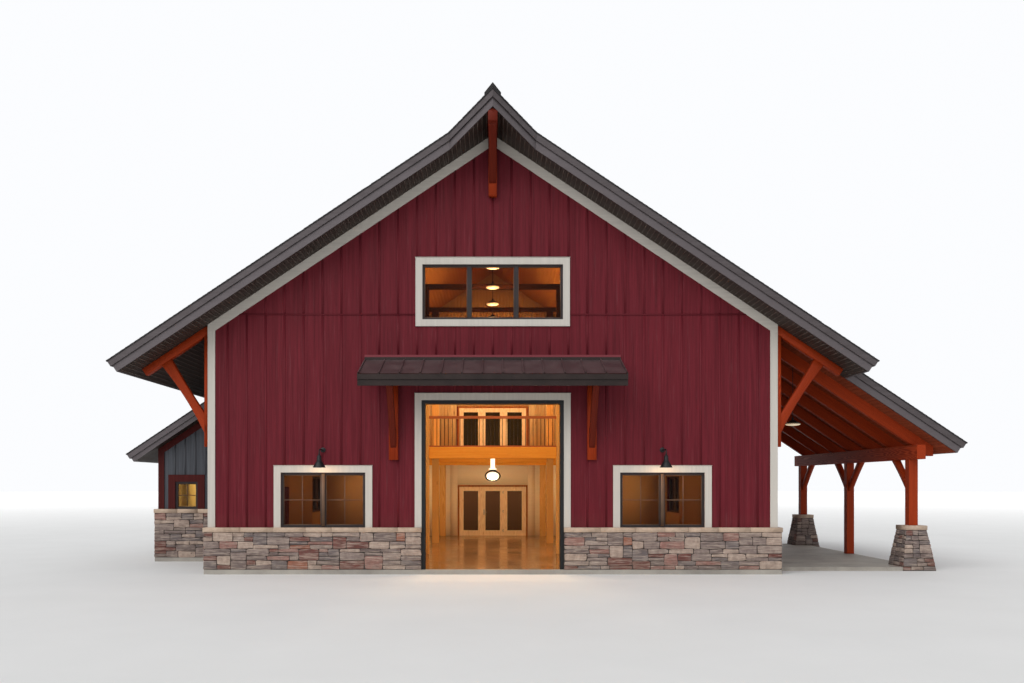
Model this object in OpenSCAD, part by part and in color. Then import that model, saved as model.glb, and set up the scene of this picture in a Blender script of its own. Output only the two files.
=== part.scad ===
// Timber framed barn with a stone base, an open porch on its right and a lean-to wing on its left.
// X runs to the right, Y to the back and Z up, from the ground at the middle of the barn.

/* [Barn] */
// Width of the barn over its side walls
barn_w = 14630; // [13800:10:15600]
// Depth of the barn over its gable walls
barn_d = 14630; // [14200:10:16000]
// Height of the soffit above the ground where it meets the side walls
eave_h = 6440; // [6300:10:6900]
// Rise of the main roof for each 12 of run
roof_rise = 8; // [7.5:0.25:8.5]
// Thickness of the barn walls
wall_t = 190; // [150:5:230]
// Height of the floor above the ground
floor_h = 120; // [80:5:160]

/* [Main roof] */
// Thickness of the whole roof, square to its slope
roof_t = 350; // [300:5:400]
// Thickness of the roofing on top of the deck
roofing_t = 25; // [15:1:35]
// Thickness of the soffit boards
soffit_t = 20; // [12:1:30]
// Reach of the eaves beyond the side walls
eave_over = 2245; // [1900:5:2400]
// Reach of the rakes beyond the gable walls
rake_over = 914; // [700:2:1000]
// Half of the prow's width where it leaves the rake
prow_w = 1090; // [900:10:1300]
// How far the prow's tip stands out beyond the rake
prow_out = 850; // [600:10:1000]
// Height of the fascia's upper band, with the roofing
band_h = 170; // [140:5:200]
// Step between the fascia's two bands
band_step = 40; // [20:1:60]
// Thickness of a fascia board
fascia_t = 40; // [25:1:60]
// Overhang of the roofing beyond the fascia
drip = 15; // [5:1:30]
// Half of the ridge cap's width along the slope
cap_side = 240; // [180:5:280]
// Thickness of the ridge cap at the ridge
cap_rise = 95; // [70:1:120]
// Thickness of the ridge cap at its edges
cap_edge = 60; // [40:1:65]
// Clearance between pieces that lie against each other on a slope
sit = 0.3; // [0.2:0.1:1]

/* [Stone base] */
// Height of the stone cap's top above the floor
base_h = 1080; // [950:5:1200]
// Thickness of the stone facing
stone_t = 100; // [70:5:140]
// Height of the cap stones
cap_h = 120; // [80:5:150]
// How far the cap stones stand out beyond the stone
cap_out = 25; // [10:1:50]

/* [Front doorway] */
// Clear width of the doorway
door_w = 3470; // [3000:10:3700]
// Clear height of the doorway
door_h = 4260; // [3900:10:4400]
// Width of the steel jamb
jamb_w = 95; // [70:5:120]
// How far the jamb stands out beyond the siding
jamb_out = 40; // [20:1:60]
// Width of the pale casing boards
casing_w = 178; // [140:1:200]
// Thickness of the pale casing boards
casing_t = 35; // [25:1:45]
// Width of a corner board
corner_w = 190; // [150:5:220]
// Thickness of the corner boards and the rake frieze
trim_t = 25; // [18:1:30]
// Height of the rake frieze, square to the slope
frieze_h = 230; // [180:5:280]

/* [Windows] */
// Width of a twin window
win_w = 2180; // [1900:10:2400]
// Height of a twin window
win_h = 1415; // [1200:5:1600]
// Distance of the twin windows from the wall's middle
win_x = 4370; // [4200:10:4600]
// Width of a window frame's bars
win_bar = 60; // [45:1:80]
// Width of the post between two sashes
win_post = 130; // [90:5:150]
// Width of the window high in the gable
gable_win_w = 3620; // [3000:10:3800]
// Height of that window
gable_win_h = 1415; // [1200:5:1500]
// Height of its sill above the floor
gable_win_z = 6440; // [6250:5:6550]
// Width of its frame
gable_bar = 50; // [45:1:100]
// Width of the two posts in it
gable_post = 105; // [100:5:200]
// Depth of the window frames
win_depth = 90; // [70:1:110]
// How far the frames lie behind the siding's face
win_set = 20; // [10:1:35]
// Thickness of the glass
glass_t = 12; // [6:1:24]

/* [Glazed back doors] */
// Width of a unit of three glazed panels
unit_w = 2845; // [2700:5:3000]
// Height of a unit
unit_h = 2083; // [2000:1:2150]
// Width of the unit's frame bars
unit_bar = 45; // [35:1:60]
// Height of the sill under the panels
sill_h = 25; // [15:1:35]
// Width of a panel's stiles and of its top rail
stile_w = 135; // [110:1:150]
// Height of a panel's bottom rail
rail_h = 200; // [150:5:260]
// Thickness of a panel
leaf_t = 45; // [35:1:55]
// Depth of the unit's frame
unit_depth = 120; // [90:1:140]
// Clearance around the leaf that swings
leaf_gap = 8; // [7:1:12]
// Width of the casing boards round a unit
unit_casing = 70; // [50:5:100]
// Thickness of those boards
unit_casing_t = 20; // [12:1:25]
// Radius of a hinge knuckle
knuckle_r = 9; // [7:0.5:12]
// Radius of a hinge pin
pin_r = 4; // [3:0.5:5]
// Clearance of a pin in its knuckle
pin_gap = 0.5; // [0.3:0.1:0.8]
// Height of a hinge
hinge_h = 110; // [90:5:140]
// Height of the handle above the floor
handle_z = 1000; // [900:10:1100]
// Width of the handle's plate
plate_w = 50; // [40:1:60]
// Height of the handle's plate
plate_h = 230; // [180:5:260]
// Thickness of the handle's plate
plate_t = 6; // [4:1:10]
// Length of the lever
lever_l = 115; // [95:5:125]
// Radius of the lever
lever_r = 10; // [8:0.5:12]
// Distance of the lever from the panel
lever_out = 50; // [40:1:60]

/* [Awning] */
// Width of the awning
awning_w = 6600; // [6000:20:7000]
// Reach of the awning from the wall
awning_out = 1240; // [1000:10:1400]
// Height of its top at the wall, above the floor
awning_top = 5405; // [5400:5:5500]
// Fall of its top from the wall to the front edge
awning_fall = 530; // [450:10:700]
// Height of its upper fascia band
awning_band = 125; // [90:5:150]
// Height of its lower fascia band
awning_low_band = 150; // [110:5:170]
// Spacing of its standing seams
seam_gap = 508; // [400:2:600]
// Width of a seam
seam_w = 30; // [20:1:40]
// Height of a seam
seam_h = 32; // [20:1:40]
// Height of the flashing along the wall
flash_h = 120; // [40:5:130]
// Thickness of that flashing
flash_t = 25; // [18:1:40]
// Distance of its brackets from the middle
bracket_x = 2550; // [2450:10:2800]
// Width of a bracket's post and arm
bracket_w = 235; // [200:5:260]
// Width of a bracket's brace
bracket_brace_w = 180; // [150:5:200]
// Height of a bracket's foot above the floor
bracket_z = 2820; // [2700:10:3000]
// Depth of a bracket's arm under the awning
arm_d = 150; // [120:5:180]
// Distance of a brace's head from the arm's end
arm_end = 80; // [60:5:120]

/* [Timber brackets] */
// Depth of the eave bracket's rafter
eave_rafter = 200; // [180:5:260]
// Width of the eave bracket's timbers
eave_timber = 200; // [150:5:240]
// Reach of the eave bracket's rafter from the wall
eave_reach = 1665; // [1500:5:1800]
// Thickness of the post on the wall
wall_post = 100; // [80:5:140]
// Height of a brace's foot above the foot of its post
brace_foot = 300; // [250:5:400]
// The same for the eave bracket's brace
eave_brace_foot = 390; // [330:5:460]
// Distance of the eave brace's head from the rafter's end
eave_brace_head = 430; // [350:5:500]
// Distance of the prow brace's head from the ridge beam's end
prow_brace_head = 130; // [100:5:180]
// Height of that post's foot above the floor
eave_foot = 3160; // [3000:10:3400]
// Height of the prow bracket's foot above the floor
prow_foot = 9570; // [9300:10:9700]
// Width of the prow bracket's post and brace
prow_timber = 214; // [180:2:240]
// Width of the ridge beam's end
ridge_beam_w = 230; // [200:5:260]
// Height of the ridge beam's end
ridge_beam_h = 320; // [260:5:360]
// Reach of the ridge beam from the gable wall
ridge_reach = 1630; // [1400:10:1700]
// Depth of the eave brackets' curved braces at their ends
eave_brace_d = 300; // [240:5:320]
// Depth of the other curved braces at their ends
brace_d = 215; // [180:5:240]
// Rise of the bow along a brace's two edges, as a share of its span
brace_bow = 0.02; // [0.01:0.005:0.03]
// The same for the lower edge of the eave brackets' braces
eave_brace_bow = 0.055; // [0.03:0.005:0.065]
// Length of a brace's end that is let into the timber it meets
tenon = 60; // [40:5:80]

/* [Porch] */
// Distance of the porch posts from the side wall
porch_post_x = 4075; // [3900:5:4200]
// Reach of the porch roof beyond its posts
porch_over = 1110; // [1000:5:1200]
// Distance of the first post behind the front wall
porch_first = 1220; // [1100:10:1300]
// Distance from post to post
porch_bay = 4065; // [3800:5:4200]
// Reach of the porch roof beyond the end posts
porch_rake = 760; // [700:5:850]
// Width of a porch post
porch_post = 235; // [220:5:280]
// Depth of a porch rafter, square to the slope
rafter_d = 300; // [250:5:330]
// Width of a porch rafter
rafter_w = 150; // [120:5:200]
// Rafters in each bay
rafters_bay = 3; // [2:1:4]
// Reach of the rafter tails beyond the posts
tail_out = 560; // [450:10:650]
// Share of a rafter's depth that is left at its tail
tail_share = 0.75; // [0.6:0.05:0.85]
// Height of the porch's eave beam
porch_beam_h = 380; // [320:5:420]
// Length of the knee braces' legs
knee_leg = 900; // [800:10:1000]
// Width of a stone pier at the ground
pier_base = 890; // [800:10:940]
// Width of a stone pier under its cap
pier_top = 545; // [500:5:570]
// Width of a pier's cap
pier_cap = 580; // [575:5:680]
// Thickness of the porch's slab
porch_slab_t = 100; // [80:5:120]

/* [Wing] */
// Width of the wing from the barn's side wall
wing_w = 2705; // [2500:5:3000]
// Distance of the wing's front behind the front wall
wing_set = 3660; // [3400:10:3900]
// Height of the wing's roof at the barn wall, above the floor
wing_top = 5430; // [5300:10:5550]
// Rise of the wing's roof for each 12 of run
wing_rise = 8; // [7.5:0.25:8.5]
// Thickness of the wing's roof, square to its slope
wing_roof_t = 300; // [250:5:340]
// Reach of the wing's eave
wing_over = 820; // [600:10:850]
// Reach of the wing's rakes
wing_rake = 450; // [350:10:500]
// Thickness of the wing's walls
wing_wall_t = 150; // [120:5:180]
// Height of the wing's stone cap above the floor
wing_base_h = 1450; // [1350:10:1550]
// Width of the wing's window
wing_win_w = 670; // [600:10:750]
// Height of the wing's window
wing_win_h = 820; // [750:10:900]
// Distance of the front window from the barn's side wall
wing_win_x = 1885; // [1800:5:1950]
// Width of the wing's casing boards
wing_casing = 210; // [180:5:230]
// Width of the wing's corner boards and frieze
wing_corner = 180; // [150:5:200]
// Width of the way in from the hall
pass_w = 1000; // [850:10:1200]
// Height of the way in from the hall
pass_h = 2100; // [2000:10:2200]

/* [Hall] */
// Width of a hall post
hall_post = 250; // [200:5:280]
// Clear width between the two rows of hall posts
aisle_w = 4000; // [3800:10:4300]
// Distance between the frames of the hall
hall_bay = 4880; // [4700:10:4950]
// Height of the loft's floor above the hall's floor
loft_h = 3360; // [3200:10:3500]
// Thickness of the loft's floor
loft_t = 220; // [180:5:250]
// Height of the loft's front beam
loft_beam_h = 360; // [300:5:400]
// Width of the loft's beams
loft_beam_w = 200; // [160:5:220]
// Height of the loft's railing
loft_rail_h = 980; // [900:10:1070]
// Width of the hand rail
hand_rail_w = 90; // [70:1:110]
// Thickness of the hand rail
hand_rail_t = 85; // [45:1:100]
// Width and thickness of the foot rail
foot_rail = 50; // [40:1:70]
// Height of the foot rail above the loft's floor
foot_rail_z = 0; // [0:5:90]
// Spacing of the rail's balusters
baluster_gap = 120; // [95:5:150]
// Width of a baluster
baluster_w = 20; // [14:1:26]
// Height of the front tie beam above the floor
front_tie_z = 8330; // [8260:10:8450]
// Height of the back tie beam above the floor
back_tie_z = 8605; // [8500:5:8650]
// Thickness of a tie beam
tie_h = 150; // [120:5:200]

/* [Lamps] */
// Height of the wall lamps' roses above the floor
lamp_z = 3075; // [3000:5:3200]
// Reach of the wall lamps from the siding
lamp_out = 500; // [400:10:600]
// Width of a wall lamp's shade
shade_w = 310; // [250:5:360]
// Height of a wall lamp's shade
shade_h = 380; // [300:5:400]
// Thickness of the lamps' shades
shade_t = 8; // [5:0.5:10]
// Radius of a wall lamp's rose
rose_r = 66; // [45:1:75]
// Thickness of the rose
rose_t = 25; // [15:1:35]
// Radius of the bend in its tube
bend_r = 80; // [60:5:100]
// Radius of the tubes
tube_r = 12; // [8:1:16]
// Width of a dish pendant
dish_w = 430; // [360:5:500]
// Height of a dish pendant's shade
dish_h = 130; // [100:5:160]
// Height of the hall's dish pendants above the floor
dish_z = 8250; // [8050:10:8300]
// Distance of the first of them behind the front wall
dish_first = 1830; // [1500:10:2200]
// Height of the porch's pendant above the floor
porch_dish_z = 3870; // [3800:10:4000]
// Distance of that pendant from the side wall
porch_dish_x = 1085; // [900:5:1200]
// Width of the globe under the loft
globe_w = 450; // [380:5:500]
// Height of the globe
globe_h = 340; // [280:5:380]
// Height of the globe's middle above the floor
globe_z = 2450; // [2400:10:2550]
// Distance of the globe behind the front wall
globe_y = 6500; // [6000:10:7500]

/* [Hidden] */
$fn = 48;
hw = barn_w / 2;
hd = barn_d / 2;
far = 40000;
eps = 1;
slope = roof_rise / 12;
pitch = atan(slope);
top_ridge = eave_h + hw * slope + roof_t / cos(pitch);
main_edge = hw + eave_over;
rake_y = hd + rake_over;
prow_turn = atan(prow_out / prow_w);
core_in = drip + band_step + fascia_t;
core_bottom = roof_t - soffit_t;
cap_top = floor_h + base_h;
door_half = door_w / 2 + jamb_w;
door_top = floor_h + door_h + jamb_w;
unit_half = unit_w / 2 + unit_casing;
panel_w = (unit_w - 4 * unit_bar) / 3;
panel_h = unit_h - unit_bar - sill_h;
inner_y = hd - wall_t;
hinge_x = panel_w / 2 - leaf_gap / 2;
hinge_y = inner_y - knuckle_r;
porch_edge = hw + porch_post_x + porch_over;
porch_post_y = [for (i = [0 : 2]) -hd + porch_first + i * porch_bay];
porch_y0 = porch_post_y[0] - porch_rake;
porch_y1 = porch_post_y[2] + porch_rake;
porch_x = hw + porch_post_x;
beam_top = under(porch_x) - rafter_d / cos(pitch);
wing_slope = wing_rise / 12;
wing_pitch = atan(wing_slope);
wing_ridge = floor_h + wing_top;
wing_y = hd - wing_set;
wing_cap_top = floor_h + wing_base_h;
left_win = hd - wing_set / 2;
post_x = aisle_w / 2 + hall_post / 2;
bent_y = [-hd + hall_bay, -hd + 2 * hall_bay];
tie_z = [front_tie_z, back_tie_z];
loft_top = floor_h + loft_h;
awning_deck = 0.8 * awning_band;
knuckle_share = 0.3;

red = [0.42, 0.12, 0.15];
pale = [0.76, 0.72, 0.65];
bronze = [0.24, 0.22, 0.22];
stained = [0.62, 0.27, 0.12];
honey = [0.80, 0.56, 0.30];
stone = [0.58, 0.52, 0.46];
buff = [0.70, 0.65, 0.55];
concrete = [0.66, 0.64, 0.60];
dark = [0.12, 0.11, 0.11];
wing_grey = [0.45, 0.48, 0.52];
wing_red = [0.33, 0.10, 0.09];
clear = [0.75, 0.82, 0.86, 0.4];

// Height of the main roof's top plane at x, and of what lies under its soffit
function top_at(x) = top_ridge - abs(x) * slope;
function under(x) = top_at(x) - (roof_t + sit) / cos(pitch);
// Height of a barn wall's top, where it meets the roof's core
function wall_top(x) = top_at(x) - (core_bottom + sit) / cos(pitch);
// A point d in from a roof's square cut edge at x, and t below its top plane
function edge_point(x, z, angle, d, t) =
    [x - d * cos(angle) - t * sin(angle), z + d * sin(angle) - t * cos(angle)];
function main_point(x, d, t) = edge_point(x, top_at(x), pitch, d, t);
// Height of the wing roof's top plane, u out from the barn's side wall
function wing_at(u) = wing_ridge - u * wing_slope;
function wing_under(u) = wing_at(u) - (wing_roof_t + sit) / cos(wing_pitch);
function wing_point(d, t) =
    edge_point(wing_w + wing_over, wing_at(wing_w + wing_over), wing_pitch, d, t);
// Points of an arc from a to b that bows to its left by the share k of its span
function bow(a, b, k, n = 12) = [for (i = [0 : n]) let (s = i / n, e = b - a)
    a + e * s + [-e[1], e[0]] * (4 * k * s * (1 - s))];
// Unit vector square to the left of the line from a to b
function left_of(a, b) = [a[1] - b[1], b[0] - a[0]] / norm(b - a);

// An outline in X and Z, carried along Y from y0 to y1
module along_y(y0, y1) {
    translate([0, y1, 0]) rotate([90, 0, 0]) linear_extrude(y1 - y0) children();
}

// An outline in Y and Z, carried along X from x0 to x1
module along_x(x0, x1) {
    translate([x0, 0, 0]) rotate([90, 0, 90]) linear_extrude(x1 - x0) children();
}

// A box between two corners
module block(a, b) {
    translate(a) cube(b - a);
}

// Each wall's own frame, with its outer face in the plane y = 0 and the room at +y
module on_front() {
    translate([0, -hd, 0]) children();
}

module on_back() {
    rotate([0, 0, 180]) translate([0, -hd, 0]) children();
}

module on_right() {
    rotate([0, 0, 90]) translate([0, -hw, 0]) children();
}

module on_left() {
    rotate([0, 0, -90]) translate([0, -hw, 0]) children();
}

// The wing's frame, with u outwards from the barn's side wall
module on_wing() {
    mirror([1, 0, 0]) translate([hw, 0, 0]) children();
}

module both_sides() {
    children();
    mirror([1, 0, 0]) children();
}

module both_ends() {
    children();
    mirror([0, 1, 0]) children();
}

module each_window() {
    for (x = [-win_x, win_x]) {
        on_front() translate([x, 0, 0]) children();
        on_back() translate([x, 0, 0]) children();
        on_right() translate([x, 0, 0]) children();
    }
    for (x = [-left_win, left_win]) on_left() translate([x, 0, 0]) children();
}

module each_wing_window() {
    on_wing() for (s = [0, 1]) mirror([0, s, 0])
        translate([wing_win_x, -wing_y, 0]) children();
    translate([-hw - wing_w, 0, 0]) rotate([0, 0, -90]) for (s = [-1, 1])
        translate([s * wing_y / 2, 0, 0]) children();
}

// Plan of the right half of the main roof, drawn in by d, with the prow at each end
module roof_plan(d) {
    x = prow_w - d * tan(prow_turn / 2);
    y = rake_y - d;
    tip = rake_y + prow_out - d / cos(prow_turn);
    polygon([[0, -tip], [x, -y], [far, -y], [far, y], [x, y], [0, tip]]);
}

// A layer of the main roof's right half, from t0 to t1 below its top plane
module main_layer(d, t0, t1) {
    intersection() {
        along_y(-far, far) polygon([
            [0, top_ridge - t0 / cos(pitch)], main_point(main_edge, d, t0),
            main_point(main_edge, d, t1), [0, top_ridge - t1 / cos(pitch)]
        ]);
        linear_extrude(2 * top_ridge) roof_plan(d);
    }
}

// The same layer over the porch, starting d0 in from the main eave
module porch_layer(d0, d, t0, t1) {
    along_y(porch_y0 + d, porch_y1 - d) polygon([
        main_point(main_edge, d0, t0), main_point(porch_edge, d, t0),
        main_point(porch_edge, d, t1), main_point(main_edge, d0, t1)
    ]);
}

module wing_layer(d, t0, t1) {
    on_wing() along_y(-wing_y - wing_rake + d, wing_y + wing_rake - d) polygon([
        [0, wing_at(0) - t0 / cos(wing_pitch)], wing_point(d, t0),
        wing_point(d, t1), [0, wing_at(0) - t1 / cos(wing_pitch)]
    ]);
}

// The room under the main roof's soffit
module below_roof() {
    x = porch_edge;
    along_y(-far, far) polygon([[-x, 0], [x, 0], [x, under(x)], [0, under(0)], [-x, under(x)]]);
}

// A timber along the line from a to b, of depth d on its left and let in by a tenon at both ends,
// whose two edges bow inwards, the lower one by its own share
module curved_brace(a, b, d, lower = brace_bow) {
    n = left_of(a, b) * d;
    reach = (b - a) / norm(b - a) * tenon;
    polygon(concat(bow(a - reach, b + reach, lower), bow(b + reach + n, a - reach + n, brace_bow)));
}

module floor_slab() {
    color(concrete) union() {
        block([-hw - stone_t, -hd - stone_t, 0], [hw + stone_t, hd + stone_t, floor_h]);
        block([-hw - wing_w - stone_t, -wing_y - stone_t, 0], [-hw, wing_y + stone_t, floor_h]);
    }
}

module pier_places() {
    for (y = [porch_post_y[0], porch_post_y[2]]) translate([porch_x, y, 0]) children();
}

module porch_slab() {
    half = pier_base / 2;
    color(concrete) difference() {
        block([hw + stone_t, porch_post_y[0] - half, 0],
            [porch_x + porch_post / 2, porch_post_y[2] + half, porch_slab_t]);
        pier_places() block([-half, -half - eps, -eps], [half, half + eps, floor_h + eps]);
    }
}

// Stone facing of both gable walls, left and right of their doors
module end_stone() {
    color(stone) both_sides() {
        block([door_half, -hd - stone_t, floor_h], [hw + stone_t, -hd, cap_top - cap_h]);
        block([unit_half, hd, floor_h], [hw + stone_t, hd + stone_t, cap_top - cap_h]);
    }
}

module side_stone() {
    color(stone) {
        block([hw, -hd, floor_h], [hw + stone_t, hd, cap_top - cap_h]);
        both_ends() block([-hw - stone_t, -hd, floor_h],
            [-hw, -wing_y - stone_t, cap_top - cap_h]);
    }
}

// A belt round the wing's three walls, out by d
module wing_belt(d, z0, z1) {
    difference() {
        block([-hw - wing_w - d, -wing_y - d, z0], [-hw, wing_y + d, z1]);
        block([-hw - wing_w, -wing_y, z0 - eps], [-hw + eps, wing_y, z1 + eps]);
    }
}

module wing_stone() {
    color(stone) wing_belt(stone_t, floor_h, wing_cap_top - cap_h);
}

module stone_caps() {
    d = stone_t + cap_out;
    z = cap_top - cap_h;
    color(buff) {
        both_sides() {
            block([door_half, -hd - d, z], [hw + d, -hd, cap_top]);
            block([unit_half, hd, z], [hw + d, hd + d, cap_top]);
        }
        block([hw, -hd - eps, z], [hw + d, hd + eps, cap_top]);
        both_ends() block([-hw - d, -hd - eps, z], [-hw, -wing_y - stone_t, cap_top]);
        wing_belt(d, wing_cap_top - cap_h, wing_cap_top);
        pier_places() block([-pier_cap / 2, -pier_cap / 2, z], [pier_cap / 2, pier_cap / 2, cap_top]);
    }
}

// Opening of a twin window, through a wall in its own frame
module window_hole() {
    block([-win_w / 2, -eps, cap_top], [win_w / 2, wall_t + eps, cap_top + win_h]);
}

module side_of_doorway() {
    difference() {
        block([door_half, -hd, floor_h], [hw, -hd + wall_t, door_top]);
        on_front() translate([win_x, 0, 0]) window_hole();
    }
}

module front_wall_left() {
    color(red) mirror([1, 0, 0]) side_of_doorway();
}

module front_wall_right() {
    color(red) side_of_doorway();
}

// Upper part of a gable wall, from z up to the roof, in the wall's own frame
module gable(z) {
    difference() {
        along_y(0, wall_t) polygon([
            [-hw, z], [hw, z], [hw, wall_top(hw)], [0, wall_top(0)], [-hw, wall_top(hw)]
        ]);
        block([-gable_win_w / 2, -eps, floor_h + gable_win_z],
            [gable_win_w / 2, wall_t + eps, floor_h + gable_win_z + gable_win_h]);
    }
}

module front_gable() {
    color(red) on_front() gable(door_top);
}

module side_wall() {
    along_y(-hd + wall_t, hd - wall_t) polygon([
        [hw - wall_t, floor_h], [hw, floor_h], [hw, wall_top(hw)], [hw - wall_t, wall_top(hw - wall_t)]
    ]);
}

module right_wall() {
    color(red) difference() {
        side_wall();
        for (x = [-win_x, win_x]) on_right() translate([x, 0, 0]) window_hole();
    }
}

module left_wall() {
    color(red) difference() {
        mirror([1, 0, 0]) side_wall();
        for (x = [-left_win, left_win]) on_left() translate([x, 0, 0]) window_hole();
        on_left() block([-pass_w / 2, -eps, floor_h - eps], [pass_w / 2, wall_t + eps, floor_h + pass_h]);
    }
}

module side_of_back_door() {
    difference() {
        block([unit_w / 2, hd - wall_t, floor_h], [hw, hd, floor_h + unit_h]);
        on_back() for (x = [-win_x, win_x]) translate([x, 0, 0])
            block([-win_w / 2, -eps, cap_top], [win_w / 2, wall_t + eps, cap_top + win_h]);
    }
}

module back_wall_left() {
    color(red) mirror([1, 0, 0]) side_of_back_door();
}

module back_wall_right() {
    color(red) side_of_back_door();
}

module back_gable() {
    color(red) difference() {
        on_back() gable(floor_h + unit_h);
        block([-unit_w / 2, inner_y - eps, loft_top], [unit_w / 2, hd + eps, loft_top + unit_h]);
        on_back() for (x = [-win_x, win_x]) translate([x, 0, 0]) window_hole();
    }
}

module wing_hole() {
    block([-wing_win_w / 2, -eps, wing_cap_top],
        [wing_win_w / 2, wing_wall_t + eps, wing_cap_top + wing_win_h]);
}

module wing_end_walls() {
    color(wing_grey) difference() {
        on_wing() both_ends() along_y(-wing_y, -wing_y + wing_wall_t) polygon([
            [0, floor_h], [wing_w, floor_h], [wing_w, wing_under(wing_w)], [0, wing_under(0)]
        ]);
        each_wing_window() wing_hole();
    }
}

module wing_side_wall() {
    u = wing_w - wing_wall_t;
    color(wing_grey) difference() {
        on_wing() along_y(-wing_y + wing_wall_t, wing_y - wing_wall_t) polygon([
            [u, floor_h], [wing_w, floor_h], [wing_w, wing_under(wing_w)], [u, wing_under(u)]
        ]);
        each_wing_window() wing_hole();
    }
}

// Rake boards under the soffit, t thick, on the front gable
module frieze() {
    x = hw + trim_t;
    v = frieze_h / cos(pitch);
    difference() {
        along_y(-hd - trim_t, -hd) polygon([
            [-x, under(x)], [0, under(0)], [x, under(x)],
            [x, under(x) - v], [0, under(0) - v], [-x, under(x) - v]
        ]);
        for (cut = [[prow_timber, floor_h + prow_foot], [ridge_beam_w, under(0) - ridge_beam_h]])
            block([-cut[0] / 2, -hd - trim_t - eps, cut[1]], [cut[0] / 2, -hd + eps, top_ridge]);
    }
}

module rake_friezes() {
    color(pale) both_ends() frieze();
}

module corner_boards() {
    x = hw + trim_t;
    y = hd + trim_t;
    color(pale) both_ends() both_sides() difference() {
        intersection() {
            block([x - corner_w, -y, cap_top], [x, -y + corner_w, top_ridge]);
            below_roof();
        }
        block([0, -hd, 0], [hw, 0, top_ridge]);
        frieze();
    }
}

// Casing on both sides and over an opening w wide, from z0 to z1, in a wall's own frame
module casing(w, z0, z1, board, t) {
    difference() {
        block([-w / 2 - board, -t, z0], [w / 2 + board, 0, z1 + board]);
        block([-w / 2, -t - eps, z0 - eps], [w / 2, eps, z1]);
    }
}

module door_casing() {
    color(pale) on_front() casing(2 * door_half, cap_top, door_top, casing_w, casing_t);
}

module door_jamb() {
    color(dark) difference() {
        block([-door_half, -hd - jamb_out, floor_h], [door_half, -hd + wall_t, door_top]);
        block([-door_w / 2, -hd - jamb_out - eps, floor_h - eps],
            [door_w / 2, -hd + wall_t + eps, floor_h + door_h]);
    }
}

module window_casings() {
    z0 = floor_h + gable_win_z;
    z1 = z0 + gable_win_h;
    color(pale) {
        each_window() casing(win_w, cap_top, cap_top + win_h, casing_w, casing_t);
        both_ends() on_front() difference() {
            block([-gable_win_w / 2 - casing_w, -casing_t, z0 - casing_w],
                [gable_win_w / 2 + casing_w, 0, z1 + casing_w]);
            block([-gable_win_w / 2, -casing_t - eps, z0], [gable_win_w / 2, eps, z1]);
        }
    }
}

module wing_trim() {
    v = wing_corner / cos(wing_pitch);
    u = wing_w + trim_t;
    low = wing_under(wing_w);
    color(wing_red) {
        each_wing_window() casing(wing_win_w, wing_cap_top, wing_cap_top + wing_win_h,
            wing_casing, trim_t);
        on_wing() both_ends() along_y(-wing_y - trim_t, -wing_y) {
            polygon([[0, wing_under(0)], [u, wing_under(u)], [u, wing_under(u) - v], [0, wing_under(0) - v]]);
            polygon([[u - wing_corner, wing_cap_top], [u, wing_cap_top],
                [u, wing_under(u) - v / 2], [u - wing_corner, wing_under(u - wing_corner) - v / 2]]);
        }
        on_wing() {
            both_ends() block([wing_w, -wing_y - eps, wing_cap_top],
                [u, -wing_y - trim_t + wing_corner, wing_under(u)]);
            block([wing_w, -wing_y, low - v], [u, wing_y, wing_under(u)]);
        }
    }
}

// A window frame w by h round n lights, with its sill at z, in a wall's own frame
module frame(w, h, n, bar, post, z) {
    light = light_w(w, n, bar, post);
    difference() {
        block([-w / 2, win_set, z], [w / 2, win_set + win_depth, z + h]);
        for (i = [0 : n - 1]) translate([-w / 2 + bar + i * (light + post), 0, z + bar])
            block([0, 0, 0], [light, wall_t, h - 2 * bar]);
    }
}

function light_w(w, n, bar, post) = (w - 2 * bar - (n - 1) * post) / n;

// The glass of such a frame
module panes(w, h, n, bar, post, z) {
    light = light_w(w, n, bar, post);
    y = win_set + win_depth / 2;
    for (i = [0 : n - 1]) translate([-w / 2 + bar + i * (light + post), y, z + bar])
        block([0, -glass_t / 2, 0], [light, glass_t / 2, h - 2 * bar]);
}

module window_frames() {
    z = floor_h + gable_win_z;
    color(dark) {
        each_window() frame(win_w, win_h, 2, win_bar, win_post, cap_top);
        both_ends() on_front() frame(gable_win_w, gable_win_h, 3, gable_bar, gable_post, z);
        each_wing_window() frame(wing_win_w, wing_win_h, 1, win_bar, win_post, wing_cap_top);
    }
}

// A glazed unit's frame, in world X, from its own floor level
module unit_frame(fixed) {
    difference() {
        block([-unit_w / 2, inner_y, 0], [unit_w / 2, inner_y + unit_depth, unit_h]);
        for (i = fixed) translate([i * (panel_w + unit_bar), 0, 0]) {
            panel_hole();
            block([-panel_w / 2, inner_y + leaf_t, sill_h],
                [panel_w / 2, hd, sill_h + panel_h]);
        }
        if (len(fixed) < 3) {
            block([-panel_w / 2, 0, sill_h], [panel_w / 2, inner_y + leaf_t + leaf_gap, sill_h + panel_h]);
            block([-panel_w / 2 + 2 * leaf_gap, 0, sill_h + leaf_gap],
                [panel_w / 2 - 2 * leaf_gap, hd, sill_h + panel_h - 2 * leaf_gap]);
        }
    }
}

// Opening for the glass of a panel
module panel_hole() {
    block([-panel_w / 2 + stile_w, 0, sill_h + rail_h],
        [panel_w / 2 - stile_w, hd, sill_h + panel_h - stile_w]);
}

module panel_glass() {
    y = inner_y + leaf_t / 2;
    block([-panel_w / 2 + stile_w, y - glass_t / 2, sill_h + rail_h],
        [panel_w / 2 - stile_w, y + glass_t / 2, sill_h + panel_h - stile_w]);
}

module patio_frames() {
    color(honey) {
        translate([0, 0, floor_h]) unit_frame([-1, 1]);
        translate([0, 0, loft_top]) unit_frame([-1, 0, 1]);
    }
}

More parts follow.
